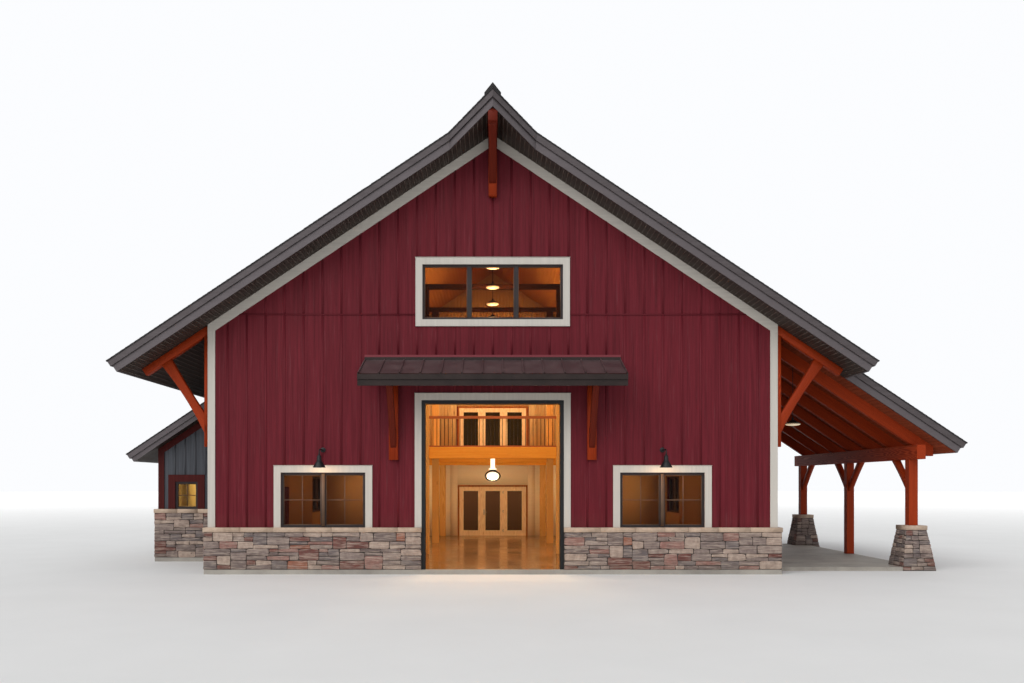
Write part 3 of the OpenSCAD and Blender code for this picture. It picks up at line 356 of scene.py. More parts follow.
def make_wood_grain():
    """Grain of sawn timber, with X of the vector along it: long streaks, wavy year rings drawn out
    along X, fine pores and a few knots. Shade runs from 0, late wood, to 1, early wood."""
    tree, given, out = new_group(
        "wood grain", [("Vector", "vector"), ("Ring Width", "value")],
        [("Shade", "value"), ("Pores", "value"), ("Knots", "value"), ("Height", "value")])
    place = given["Vector"]
    sway = noise(tree, stretched(tree, place, (0.18, 2.0, 2.0)), 1.0, 2.0)
    sway = calc(tree, "MULTIPLY", calc(tree, "SUBTRACT", sway, 0.5), 0.5)
    shifted = add(tree, "ShaderNodeCombineXYZ", {0: 0.0, 1: sway, 2: sway}).outputs[0]
    bent = add(tree, "ShaderNodeVectorMath", {0: stretched(tree, place, (0.05, 1.0, 1.0)), 1: shifted})
    rings = add(tree, "ShaderNodeTexWave", {
        "Vector": bent.outputs[0], "Scale": calc(tree, "DIVIDE", 0.32, given["Ring Width"]),
        "Distortion": 2.5, "Detail": 2.0, "Detail Scale": 1.2,
    }, wave_type="RINGS", rings_direction="X").outputs["Fac"]
    streak = noise(tree, stretched(tree, place, (0.8, 34.0, 34.0)), 1.0, 4.0, 0.6)
    pores = noise(tree, stretched(tree, place, (9.0, 420.0, 420.0)), 1.0, 2.0)
    pores = spread(tree, pores, 0.58, 0.72)
    spots = add(tree, "ShaderNodeTexVoronoi", {
        "Vector": stretched(tree, place, (0.75, 2.6, 2.6)), "Scale": 1.0, "Randomness": 1.0,
    }).outputs["Distance"]
    knots = spread(tree, spots, 0.03, 0.10, 1.0, 0.0)
    shade = calc(tree, "ADD", calc(tree, "MULTIPLY", rings, 0.45), calc(tree, "MULTIPLY", streak, 0.55))
    height = calc(tree, "SUBTRACT", shade, calc(tree, "MULTIPLY", pores, 0.5))
    return finish_group(tree, out, Shade=shade, Pores=pores, Knots=knots, Height=height)


def make_painted_grain():
    """Wood texture that shows through paint, with X of the vector along it: broad and fine ridges
    and a slow change of the paint's thickness."""
    tree, given, out = new_group("painted grain", [("Vector", "vector")],
                                 [("Ridges", "value"), ("Lines", "value"), ("Patches", "value"),
                                  ("Height", "value")])
    fine = noise(tree, stretched(tree, given["Vector"], (1.6, 75.0, 75.0)), 1.0, 4.0, 0.6, 0.3)
    broad = noise(tree, stretched(tree, given["Vector"], (0.45, 15.0, 15.0)), 1.0, 3.0, 0.6, 0.2)
    worn = noise(tree, stretched(tree, given["Vector"], (0.9, 24.0, 24.0)), 1.0, 4.0, 0.7, 0.2)
    lines = spread(tree, worn, 0.58, 0.72)
    ridges = calc(tree, "ADD", calc(tree, "MULTIPLY", fine, 0.4), calc(tree, "MULTIPLY", broad, 0.6))
    patches = noise(tree, stretched(tree, given["Vector"], (0.35, 2.4, 2.4)), 1.0, 4.0, 0.6)
    height = calc(tree, "ADD", ridges, calc(tree, "MULTIPLY", patches, 0.4))
    return finish_group(tree, out, Ridges=ridges, Lines=lines, Patches=patches, Height=height)


def make_mottle():
    """Cloudy patches with fine specks, for stone, concrete and metal."""
    tree, given, out = new_group("mottle", [("Vector", "vector"), ("Scale", "value")],
                                 [("Clouds", "value"), ("Specks", "value"), ("Height", "value")])
    place = add(tree, "ShaderNodeVectorMath", {0: given["Vector"], "Scale": given["Scale"]},
                operation="SCALE").outputs[0]
    clouds = noise(tree, place, 1.0, 6.0, 0.62, 0.4)
    specks = noise(tree, place, 26.0, 3.0, 0.7)
    height = calc(tree, "ADD", clouds, calc(tree, "MULTIPLY", specks, 0.35))
    return finish_group(tree, out, Clouds=clouds, Specks=specks, Height=height)


def make_weather():
    """Rain streaks down a wall and dust near the ground. The vector is the place in the barn."""
    tree, given, out = new_group(
        "weather", [("Vector", "vector"), ("Dust Height", "value")],
        [("Streaks", "value"), ("Dust", "value")])
    runs = noise(tree, stretched(tree, given["Vector"], (5.0, 5.0, 0.22)), 1.0, 5.0, 0.6)
    streaks = spread(tree, runs, 0.42, 0.75)
    z = parts_of(tree, given["Vector"])[2]
    near = spread(tree, calc(tree, "DIVIDE", z, given["Dust Height"]), 0.0, 1.0, 1.0, 0.0)
    cloud = noise(tree, given["Vector"], 2.2, 5.0, 0.6)
    dust = calc(tree, "MULTIPLY", near, spread(tree, cloud, 0.3, 0.7))
    return finish_group(tree, out, Streaks=streaks, Dust=dust)


wood_grain = make_wood_grain()
painted_grain = make_painted_grain()
mottle = make_mottle()
weather = make_weather()


def use(tree, group, **inputs):
    """A node group placed in a material, with its inputs. Returns its outputs."""
    given = {label.replace("_", " "): value for label, value in inputs.items()}
    return add(tree, "ShaderNodeGroup", given, node_tree=group).outputs


def new_material(name):
    """An empty material with its node tree and a Principled shader joined to its output."""
    made = bpy.data.materials.new(name)
    made.use_nodes = True
    tree = made.node_tree
    tree.nodes.clear()
    shader = add(tree, "ShaderNodeBsdfPrincipled")
    add(tree, "ShaderNodeOutputMaterial", {"Surface": shader.outputs[0]})
    return made, tree, shader


def give(tree, shader, height=None, deep=0.002, strong=0.5, **inputs):
    """Sets the shader's inputs, and its normal from a height that is deep metres at most."""
    for label, value in inputs.items():
        feed(tree, shader.inputs[label.replace("_", " ")], value)
    if height is not None:
        bump = add(tree, "ShaderNodeBump", {"Height": height, "Distance": deep, "Strength": strong})
        tree.links.new(bump.outputs[0], shader.inputs["Normal"])


def place_of(tree):
    """The place in the barn, in metres."""
    return add(tree, "ShaderNodeTexCoord").outputs["Object"]


def grain_along(tree, way):
    """The vector whose X runs along the grain: a piece's own UV map, or an axis of the barn."""
    if way == "uv":
        return add(tree, "ShaderNodeUVMap", uv_map="grain").outputs[0]
    if way == "slope":
        turned = add(tree, "ShaderNodeMapping", {"Vector": place_of(tree), "Rotation": (0, -pitch, 0)})
        return turned.outputs[0]
    split = parts_of(tree, place_of(tree))
    order = {"x": (0, 1, 2), "y": (1, 2, 0), "z": (2, 0, 1)}[way]
    return add(tree, "ShaderNodeCombineXYZ", {i: split[k] for i, k in enumerate(order)}).outputs[0]


def tone_of(tree):
    """The random tone of a board, stone or shingle, from 0 to 1."""
    return add(tree, "ShaderNodeAttribute", attribute_name="tone").outputs["Fac"]


def timber(name, way, dark, light, knot, ring=0.012, rough=0.55, coat=0.0):
    """Sawn timber under a clear or coloured stain, its tone a little different on each piece."""
    made, tree, shader = new_material(name)
    grain = use(tree, wood_grain, Vector=grain_along(tree, way), Ring_Width=ring)
    base = mix(tree, spread(tree, grain["Shade"], 0.25, 0.75), dark, light)
    if way == "uv":
        base = mix(tree, spread(tree, tone_of(tree), 0.0, 1.0, 0.0, 0.35), base, dark)
    base = mix(tree, calc(tree, "MULTIPLY", grain["Pores"], 0.35), base, knot)
    base = mix(tree, calc(tree, "MULTIPLY", grain["Knots"], 0.75), base, knot)
    give(tree, shader, grain["Height"], 0.0015, 0.5, Base_Color=base, Coat_Weight=coat,
         Coat_Roughness=0.35, Specular_IOR_Level=0.12,
         Roughness=spread(tree, grain["Shade"], 0.2, 0.8, rough + 0.08, rough - 0.08))
    return made


def paint(name, way, colour, deep=0.0008, rough=0.5, streak=0.25, dust=1.6, depth=0.30, worn=0.0):
    """House paint over grained boards, streaked by rain and dusty near the ground."""
    made, tree, shader = new_material(name)
    grain = use(tree, painted_grain, Vector=grain_along(tree, way))
    wear = use(tree, weather, Vector=place_of(tree), Dust_Height=dust)
    dark = (*((1 - depth) * c for c in colour[:3]), 1.0)
    light = (*(min(1.0, (1 + 0.6 * depth) * c) for c in colour[:3]), 1.0)
    base = mix(tree, spread(tree, grain["Ridges"], 0.36, 0.64), dark, light)
    base = mix(tree, calc(tree, "MULTIPLY", spread(tree, grain["Patches"], 0.35, 0.7), 0.35), base, colour)
    if way == "uv":
        base = mix(tree, spread(tree, tone_of(tree), 0.0, 1.0, 0.0, 0.3), base, dark)
    base = mix(tree, calc(tree, "MULTIPLY", wear["Streaks"], streak), base, dark)
    if worn:
        pale = (*(c + 0.16 for c in colour[:3]), 1.0)
        base = mix(tree, calc(tree, "MULTIPLY", grain["Lines"], worn), base, pale)
    base = mix(tree, calc(tree, "MULTIPLY", wear["Dust"], 0.20), base, srgb(150, 132, 112))
    give(tree, shader, grain["Height"], deep, 0.6, Base_Color=base, Specular_IOR_Level=0.1,
         Roughness=spread(tree, grain["Patches"], 0.3, 0.7, rough - 0.08, rough + 0.12))
    return made


def coated_metal(name, colour, rough=0.38, coat=0.0, scale=3.0):
    """Painted or anodised metal, with faint clouding, fine dust and a slight waviness."""
    made, tree, shader = new_material(name)
    spots = use(tree, mottle, Vector=place_of(tree), Scale=scale)
    light = (*(min(1.0, 1.35 * c + 0.006) for c in colour[:3]), 1.0)
    base = mix(tree, spread(tree, spots["Clouds"], 0.35, 0.7), colour, light)
    base = mix(tree, spread(tree, spots["Specks"], 0.62, 0.8, 0.0, 0.25), base, srgb(150, 140, 128))
    give(tree, shader, spots["Height"], 0.0006, 0.25, Base_Color=base, Metallic=0.2, Coat_Weight=coat,
         Specular_IOR_Level=0.3,
         Roughness=spread(tree, spots["Clouds"], 0.3, 0.7, rough - 0.06, rough + 0.10))
    return made


def fascia_metal():
    """Folded fascia of the roofs: its lower band a little lighter than the upper one. The depth
    below the main roof's top plane tells the bands apart."""
    made, tree, shader = new_material("roof_fascia")
    place = place_of(tree)
    spots = use(tree, mottle, Vector=place, Scale=2.0)
    grain = noise(tree, stretched(tree, place, (1.5, 9.0, 9.0)), 1.0, 3.0, 0.6)
    x, _, z = parts_of(tree, place)
    top = calc(tree, "SUBTRACT", ridge_z, calc(tree, "MULTIPLY", calc(tree, "ABSOLUTE", x), slope))
    band_foot, blend = 0.23, 0.005
    lower = spread(tree, calc(tree, "SUBTRACT", top, z), band_foot - blend, band_foot + blend)
    base = mix(tree, lower, srgb(76, 69, 70), srgb(92, 85, 87))
    base = mix(tree, spread(tree, grain, 0.35, 0.7, 0.0, 0.35), base, srgb(106, 99, 101))
    base = mix(tree, spread(tree, spots["Specks"], 0.62, 0.8, 0.0, 0.2), base, srgb(140, 130, 120))
    give(tree, shader, spots["Height"], 0.0006, 0.25, Base_Color=base, Metallic=0.2,
         Specular_IOR_Level=0.3, Roughness=spread(tree, spots["Clouds"], 0.3, 0.7, 0.34, 0.5))
    return made


def awning_metal():
    """Standing seam roofing over folded bands which face outwards below its edge, coloured dark as painted
    shade. The flashing along the wall gets the same painted shade, with its top painted red as the siding
    is."""
    made, tree, shader = new_material("awning_metal")
    place = place_of(tree)
    spots = use(tree, mottle, Vector=place, Scale=2.4)
    _, y, z = parts_of(tree, place)
    low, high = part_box("awning_roof")
    edge_fold, band_h, flashing_t, painted_h = 0.075, 0.20, 0.026, 0.058
    flashing = calc(tree, "GREATER_THAN", y, -half_d - flashing_t)
    band = calc(tree, "MAXIMUM", calc(tree, "LESS_THAN", y, low.y + edge_fold),
                calc(tree, "LESS_THAN", z, low.z + band_h))
    band = calc(tree, "MAXIMUM", band, flashing)
    # Painted shade: the band mask marks the folded bands and the flashing, which get the dark folded
    # colour as if they stood in shadow.
    sheet = mix(tree, spread(tree, spots["Clouds"], 0.35, 0.7), srgb(74, 60, 61), srgb(96, 80, 80))
    folded = mix(tree, spread(tree, spots["Clouds"], 0.35, 0.7), srgb(33, 23, 20), srgb(46, 34, 31))
    base = mix(tree, band, sheet, folded)
    painted = calc(tree, "MULTIPLY", flashing, calc(tree, "GREATER_THAN", z, high.z - painted_h))
    base = mix(tree, painted, base, srgb(120, 48, 56))
    base = mix(tree, spread(tree, spots["Specks"], 0.62, 0.8, 0.0, 0.2), base, srgb(140, 130, 120))
    give(tree, shader, spots["Height"], 0.0006, 0.25, Base_Color=base, Metallic=0.2,
         Specular_IOR_Level=0.3, Roughness=spread(tree, spots["Clouds"], 0.3, 0.7, 0.32, 0.46))
    return made


def wing_siding():
    """Grey painted boards outside, their grey partly the paint's own and partly painted shade, and cream
    plaster on the inner faces of the wing's walls.
    """
    made, tree, shader = new_material("wing_siding")
    place = place_of(tree)
    grain = use(tree, painted_grain, Vector=grain_along(tree, "z"))
    wear = use(tree, weather, Vector=place, Dust_Height=1.6)
    x, y, _ = parts_of(tree, place)
    boards_t = 0.1
    inside = calc(tree, "MULTIPLY", calc(tree, "GREATER_THAN", x, wing_x + boards_t),
                  calc(tree, "LESS_THAN", calc(tree, "ABSOLUTE", y), wing_y - boards_t))
    # The grey below is partly the boards' own paint and partly painted shade, so it is darker than the
    # paint alone.
    grey = mix(tree, spread(tree, grain["Ridges"], 0.36, 0.64), srgb(72, 74, 79), srgb(94, 97, 103))
    grey = mix(tree, calc(tree, "MULTIPLY", wear["Streaks"], 0.3), grey, srgb(64, 64, 67))
    cream = mix(tree, spread(tree, grain["Patches"], 0.3, 0.7), srgb(222, 204, 172), srgb(236, 220, 190))
    give(tree, shader, grain["Height"], 0.0006, 0.5, Base_Color=mix(tree, inside, grey, cream),
         Specular_IOR_Level=0.1, Roughness=spread(tree, grain["Patches"], 0.3, 0.7, 0.5, 0.68))
    return made


def hall_timber(way, dark, light, shade_above=7.2):
    """Pine posts or beams, coloured dark brown high under the roof as painted shade."""
    made, tree, shader = new_material("hall_timber_" + way)
    grain = use(tree, wood_grain, Vector=grain_along(tree, way), Ring_Width=0.012)
    z = parts_of(tree, place_of(tree))[2]
    high = calc(tree, "GREATER_THAN", z, shade_above)
    shade = spread(tree, grain["Shade"], 0.25, 0.75)
    base = mix(tree, shade, dark, light)
    # Painted shade: above the given height the pine is coloured dark brown, as if in shadow under the
    # roof.
    base = mix(tree, high, base, mix(tree, shade, srgb(30, 14, 8), srgb(52, 26, 14)))
    base = mix(tree, calc(tree, "MULTIPLY", grain["Pores"], 0.3), base, pine_knot)
    base = mix(tree, calc(tree, "MULTIPLY", grain["Knots"], 0.75), base, pine_knot)
    give(tree, shader, grain["Height"], 0.0015, 0.5, Base_Color=base, Specular_IOR_Level=0.15,
         Roughness=spread(tree, grain["Shade"], 0.2, 0.8, 0.58, 0.44))
    return made


def rock(name, dark, light, fleck, scale=2.5, deep=0.004, rough=0.85, dust=0.8):
    """Stone or mortar: clouds of two colours, specks of a third, and a rough surface."""
    made, tree, shader = new_material(name)
    spots = use(tree, mottle, Vector=place_of(tree), Scale=scale)
    wear = use(tree, weather, Vector=place_of(tree), Dust_Height=dust)
    base = mix(tree, spread(tree, spots["Clouds"], 0.3, 0.7), dark, light)
    base = mix(tree, spread(tree, spots["Specks"], 0.58, 0.75, 0.0, 0.6), base, fleck)
    base = mix(tree, calc(tree, "MULTIPLY", wear["Dust"], 0.25), base, srgb(120, 108, 94))
    give(tree, shader, spots["Height"], deep, 0.7, Base_Color=base,
         Roughness=spread(tree, spots["Specks"], 0.3, 0.7, rough - 0.1, rough + 0.08))
    return made


def ledge_colours():
    """Split ledgestone: each stone's tone picks taupe, rose, buff, rust, slate or dark red, and
    clouds, strata and specks vary it."""
    made, tree, shader = new_material("ledgestone")
    ramp = add(tree, "ShaderNodeValToRGB", {"Fac": tone_of(tree)})
    ramp.color_ramp.interpolation = "CONSTANT"
    tones = [(0.0, (140, 124, 117)), (0.17, (162, 144, 133)), (0.32, (116, 102, 98)),
             (0.45, (188, 166, 150)), (0.54, (108, 56, 48)), (0.64, (150, 106, 96)),
             (0.75, (106, 98, 98)), (0.86, (154, 92, 68)), (0.90, (182, 160, 145))]
    for step, (at, shade) in enumerate(tones):
        stop = ramp.color_ramp.elements[step] if step < 2 else ramp.color_ramp.elements.new(at)
        stop.position, stop.color = at, srgb(*shade)
    base = ramp.outputs["Color"]
    spots = use(tree, mottle, Vector=place_of(tree), Scale=7.0)
    strata = noise(tree, stretched(tree, place_of(tree), (3.0, 3.0, 40.0)), 1.0, 4.0, 0.6, 0.6)
    base = mix(tree, spread(tree, spots["Clouds"], 0.32, 0.68, 0.0, 0.62), base, srgb(88, 68, 63))
    base = mix(tree, spread(tree, strata, 0.46, 0.7, 0.0, 0.6), base, srgb(202, 184, 168))
    base = mix(tree, spread(tree, spots["Specks"], 0.6, 0.78, 0.0, 0.5), base, srgb(70, 56, 54))
    wear = use(tree, weather, Vector=place_of(tree), Dust_Height=0.5)
    base = mix(tree, calc(tree, "MULTIPLY", wear["Dust"], 0.35), base, srgb(126, 110, 92))
    height = calc(tree, "ADD", spots["Height"], calc(tree, "MULTIPLY", strata, 0.6))
    give(tree, shader, height, 0.008, 0.8, Base_Color=base,
         Roughness=spread(tree, spots["Specks"], 0.3, 0.7, 0.72, 0.92))
    return made


def shingle_colours():
    """Mineral faced roof shingles: each tab a little lighter or browner, with fine granules."""
    made, tree, shader = new_material("roof_shingles")
    spots = use(tree, mottle, Vector=place_of(tree), Scale=2.0)
    grit = add(tree, "ShaderNodeTexVoronoi", {"Vector": place_of(tree), "Scale": 260.0}).outputs["Color"]
    grit = add(tree, "ShaderNodeSeparateColor", {0: grit}).outputs[0]
    base = mix(tree, tone_of(tree), srgb(38, 34, 34), srgb(70, 63, 61))
    base = mix(tree, spread(tree, spots["Clouds"], 0.35, 0.7, 0.0, 0.4), base, srgb(56, 48, 46))
    base = mix(tree, spread(tree, grit, 0.6, 1.0, 0.0, 0.5), base, srgb(104, 96, 90))
    give(tree, shader, grit, 0.0008, 0.6, Base_Color=base,
         Roughness=spread(tree, grit, 0.0, 1.0, 0.8, 0.95))
    return made


def railing_finish():
    """The loft's railing: dark round metal between the two wooden rails, parted by height."""
    made, tree, shader = new_material("loft_railing")
    place = place_of(tree)
    grain = use(tree, wood_grain, Vector=grain_along(tree, "x"), Ring_Width=0.012)
    z = parts_of(tree, place)[2]
    past_rail = 0.001
    low, high = loft_z + shoe_t + past_rail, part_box("loft_railing")[1].z - rail_t - past_rail
    bar = calc(tree, "MULTIPLY", calc(tree, "GREATER_THAN", z, low), calc(tree, "LESS_THAN", z, high))
    wood = mix(tree, spread(tree, grain["Shade"], 0.25, 0.75), srgb(138, 76, 46), srgb(184, 108, 70))
    spots = use(tree, mottle, Vector=place, Scale=8.0)
    iron = mix(tree, spots["Clouds"], srgb(34, 30, 28), srgb(58, 50, 46))
    give(tree, shader, grain["Height"], 0.001, 0.4, Base_Color=mix(tree, bar, wood, iron),
         Specular_IOR_Level=0.3, Roughness=spread(tree, spots["Clouds"], 0.3, 0.7, 0.42, 0.55))
    return made


def polished_floor():
    """Power trowelled concrete with a warm stain: cloudy, and glossy where it is polished indoors.
    The slab's edge out of doors stays grey and dull."""
    made, tree, shader = new_material("polished_concrete")
    place = place_of(tree)
    spots = use(tree, mottle, Vector=place, Scale=0.9)
    x, y, _ = parts_of(tree, place)
    sill_edge = 0.02
    room = calc(tree, "MULTIPLY",
                calc(tree, "LESS_THAN", calc(tree, "ABSOLUTE", x), inner_w),
                calc(tree, "LESS_THAN", calc(tree, "ABSOLUTE", y), half_d - sill_edge))
    warm = mix(tree, spread(tree, spots["Clouds"], 0.3, 0.7), srgb(112, 80, 52), srgb(156, 120, 86))
    grey = mix(tree, spread(tree, spots["Clouds"], 0.3, 0.7), srgb(138, 132, 124), srgb(176, 170, 160))
    base = mix(tree, room, grey, warm)
    base = mix(tree, spread(tree, spots["Specks"], 0.6, 0.8, 0.0, 0.3), base, srgb(98, 84, 72))
    dull = spread(tree, spots["Clouds"], 0.3, 0.7, 0.12, 0.26)
    rough = calc(tree, "ADD", dull, calc(tree, "MULTIPLY", calc(tree, "SUBTRACT", 1.0, room), 0.55))
    give(tree, shader, spots["Height"], 0.0003, 0.1, Base_Color=base, Roughness=rough)
    return made


def window_glass():
    """Window glass with a little reflection and faint waviness: bronze in the front wall, frosted and
    yellow in the wing's front, and dark in the other walls, darkest above the loft, as painted shade for
    panes that are seen against the light."""
    made, tree, shader = new_material("window_glass")
    place = place_of(tree)
    spots = use(tree, mottle, Vector=place, Scale=1.2)
    x, y, z = parts_of(tree, place)
    off_barn, end_wall_t = 0.1, 0.2
    wing = calc(tree, "MULTIPLY", calc(tree, "LESS_THAN", x, -half_w - off_barn),
                calc(tree, "LESS_THAN", y, end_wall_t - wing_y))
    # Painted shade: the panes of the back, side and gable walls are tinted dark, and darker still above
    # the loft.
    base = mix(tree, calc(tree, "GREATER_THAN", z, loft_z), srgb(76, 42, 16), srgb(50, 32, 14))
    base = mix(tree, wing, base, srgb(240, 224, 160))
    base = mix(tree, calc(tree, "LESS_THAN", y, -wall_in_y), base, srgb(158, 128, 98))
    smooth = spread(tree, spots["Clouds"], 0.3, 0.7, 0.0, 0.012)
    give(tree, shader, spots["Clouds"], 0.0004, 0.12, Base_Color=base, IOR=1.15,
         Roughness=calc(tree, "ADD", smooth, calc(tree, "MULTIPLY", wing, 0.4)), Transmission_Weight=1.0)
    return made


def glowing(name, colour, strength):
    """A lit bulb or diffuser with a slightly uneven glow."""
    made, tree, shader = new_material(name)
    spots = use(tree, mottle, Vector=place_of(tree), Scale=9.0)
    warm = mix(tree, spread(tree, spots["Clouds"], 0.3, 0.7, 0.0, 0.35), colour, srgb(255, 214, 150))
    give(tree, shader, Base_Color=(0.9, 0.85, 0.75, 1), Emission_Color=warm, Emission_Strength=strength,
         Roughness=spread(tree, spots["Clouds"], 0.3, 0.7, 0.3, 0.45))
    return made


stain_dark, stain_light, stain_knot = srgb(128, 40, 15), srgb(180, 66, 25), srgb(74, 24, 9)
pine_dark, pine_light, pine_knot = srgb(214, 148, 78), srgb(242, 194, 122), srgb(132, 70, 30)


def stained(way):
    """Orange stained timber of the brackets, posts and porch."""
    return timber("stained_timber_" + way, way, stain_dark, stain_light, stain_knot)


def pine(way):
    """Clear finished pine of the hall's ceiling and the loft."""
    return timber("pine_" + way, way, pine_dark, pine_light, pine_knot, rough=0.5, coat=0.05)


siding_red = srgb(105, 33, 42)
red_panel = paint("red_siding", "z", siding_red, streak=0.25, depth=0.35, worn=0.10)
red_batten = paint("red_battens", "uv", siding_red, streak=0.2, depth=0.3, worn=0.06)
grey_panel = wing_siding()
grey_batten = paint("grey_battens", "uv", srgb(88, 90, 95))
pale_x = paint("pale_trim_level", "x", srgb(204, 198, 189), streak=0.1, depth=0.12)
pale_z = paint("pale_trim_upright", "z", srgb(204, 198, 189), streak=0.15, depth=0.10)
wing_red = paint("wing_trim", "z", srgb(78, 27, 25))
cream_wall = paint("cream_plaster", "x", srgb(244, 226, 192), deep=0.0003, rough=0.7, streak=0.0,
                   dust=0.4, depth=0.04)
soffit_metal = coated_metal("soffit_metal", srgb(54, 45, 40), 0.55)
black = coated_metal("black_metal", srgb(12, 13, 15), 0.45, 0.1)
frame_metal = coated_metal("window_frame", srgb(44, 37, 37), 0.45)
sash_metal = coated_metal("window_sash", srgb(96, 74, 58), 0.45)
rib_metal = coated_metal("soffit_ribs", srgb(82, 70, 64), 0.5)
bright_steel = coated_metal("door_steel", srgb(150, 146, 138), 0.3)
stained_y, stained_z, stained_slope, stained_uv = map(stained, ("y", "z", "slope", "uv"))
pine_y, pine_uv = pine("y"), pine("uv")
blond_z = timber("blond_pine", "z", srgb(224, 194, 150), srgb(246, 222, 184), srgb(196, 156, 110),
                 rough=0.5)
dark_wood = timber("dark_casing", "z", srgb(128, 68, 34), srgb(176, 104, 56), srgb(84, 44, 24))
ceiling_wood = timber("ceiling_wood", "uv", srgb(96, 38, 20), srgb(150, 66, 34), srgb(60, 24, 12))
lining_wood = timber("lining_pine", "uv", srgb(190, 152, 100), srgb(214, 184, 136), srgb(132, 84, 44),
                     rough=0.5)
# Painted shade: a darker copy of the orange stain, for timbers that are to look as if they stand in
# shadow.
painted_shade_stain = timber("painted_shade_stain", "uv", srgb(84, 23, 12), srgb(116, 38, 20), srgb(52, 16, 8))
concrete = rock("porch_concrete", srgb(140, 134, 126), srgb(178, 172, 162), srgb(112, 106, 98), 1.1,
                0.001, 0.7)
floor_finish = polished_floor()
mortar = rock("mortar", srgb(44, 36, 33), srgb(66, 56, 51), srgb(32, 27, 25), 6.0, 0.004)
cap_stone = rock("limestone", srgb(170, 146, 126), srgb(204, 180, 158), srgb(144, 120, 102), 5.0,
                 0.004, 0.75)
ledge = ledge_colours()
shingle = shingle_colours()
underlay = rock("roof_underlay", srgb(28, 26, 27), srgb(42, 39, 40), srgb(60, 56, 55), 2.0, 0.001)
clear = window_glass()
bulb = glowing("lamp_glow", srgb(255, 240, 212), 1.6)
dim_bulb = glowing("porch_lamp_glow", srgb(255, 222, 176), 0.45)

node_finish = {
    "floor_slab": floor_finish, "porch_slab": concrete,
    "end_stone": mortar, "side_stone": mortar, "wing_stone": mortar, "porch_piers": mortar,
    "stone_caps": cap_stone,
    "front_wall_left": red_panel, "front_wall_right": red_panel, "front_gable": red_panel,
    "left_wall": red_panel, "right_wall": red_panel, "back_wall_left": red_panel,
    "back_wall_right": red_panel, "back_gable": red_panel,
    "wing_end_walls": grey_panel, "wing_side_wall": grey_panel,
    "corner_boards": pale_z, "rake_friezes": pale_x, "door_casing": pale_z,
    "door_jamb": black, "window_casings": pale_z, "wing_trim": wing_red,
    "window_frames": frame_metal, "window_glass": clear, "back_door_glass": clear,
    "patio_frames": blond_z, "patio_casings": dark_wood, "back_door_leaf": blond_z,
    "back_door_hardware": bright_steel, "frame_hinges": bright_steel,
    "roof_left": pine_y, "roof_right": pine_y, "roofing": underlay, "roof_fascia": fascia_metal(),
    "soffits": soffit_metal, "ridge_cap": underlay, "porch_roof": stained_y,
    "porch_ceiling": stained_y, "wing_roof": soffit_metal, "awning_roof": awning_metal(),
    "awning_brackets": stained_z, "prow_brackets": stained_z, "eave_brackets": stained_z,
    "porch_posts": stained_z, "porch_beam": stained_y, "porch_braces": stained_z,
    "porch_rafters": stained_slope,
    "hall_posts": hall_timber("z", srgb(202, 146, 80), srgb(226, 178, 108)),
    "hall_beams": hall_timber("x", srgb(230, 142, 46), srgb(250, 184, 80)),
    "loft_floor": pine_y, "loft_railing": railing_finish(), "barn_lights": black,
    "pendant_lights": black,
}
for name, finish in node_finish.items():
    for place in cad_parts[name].material_slots:
        place.material = finish

# Pieces on the walls. A shape for a wall is made against the plane y = 0, outwards being -Y, and is
# then turned onto its side of the barn: 0 is the front, 1 the right, 2 the back and 3 the left.

front, right, back, left = range(4)


def on_side(shape, side, reach):
    """The shape moved out by reach and turned by as many quarters about Z as the side says."""
    c, s = ((1, 0), (0, 1), (-1, 0), (0, -1))[side]

    def change(p):
        x, y = p[:, 0], p[:, 1] - reach
        return np.stack([c * x - s * y, s * x + c * y, p[:, 2]], -1)

    return moved(shape, change)


def clear_spans(u0, u1, low, high, holes):
    """The parts of an upright strip from low to high that no hole touches, but no short ends."""
    shortest = 0.02
    spans = [(low, high)]
    for a, b, c, d in holes:
        if a < u1 and b > u0:
            spans = [part for z0, z1 in spans
                     for part in ((z0, min(z1, c)), (max(z0, d), z1)) if part[1] - part[0] > shortest]
    return spans


def upright_boards(strips, thick, low, top, holes, chamfer=0.0):
    """Upright boards on a wall, one for each strip from u0 to u1, cut where there are holes. They
    start at low and end at top(u), u being the end of the strip that is nearer the middle."""
    boards = [(u0, u1, z0, z1) for u0, u1 in strips
              for z0, z1 in clear_spans(u0, u1, low, top(min(abs(u0), abs(u1))), holes)]
    u0, u1, z0, z1 = np.array(boards).T
    half = (u1 - u0)[:, None] / 2
    shape = section(1.0, 1.0, 0.0 if chamfer == 0 else 0.1)
    across = np.sign(shape[:, 0]) * np.maximum(half - (np.abs(shape[:, 0]) < 0.5) * chamfer, 0)
    sunk = 0.004
    deep = np.where(shape[:, 1] < 0, -thick, sunk) + (np.abs(shape[:, 1]) < 0.5) * np.where(
        shape[:, 1] < 0, chamfer, 0.0)
    ring = np.stack([(u0 + u1)[:, None] / 2 + across, np.broadcast_to(deep, across.shape)], -1)
    ends = [np.concatenate([ring, np.broadcast_to(z[:, None, None], (*across.shape, 1))], -1)
            for z in (z0, z1)]
    return tubes(np.stack(ends, 1))


def hole(place, width, low, height, margin=0.0):
    """A hole for a window or door in a wall, as the two ends of its width and of its height."""
    return (place - width / 2 - margin, place + width / 2 + margin, low - margin, low + height + margin)


def twin_windows(places, margin=0.0):
    """The holes of a wall's windows, which all stand on the cap stones."""
    return [hole(u, window_w, cap_top, window_h, margin) for u in places]


def gable_window(margin=0.0):
    """The hole of the wide window high in a gable."""
    return hole(0, gable_w, gable_z, gable_h, margin)


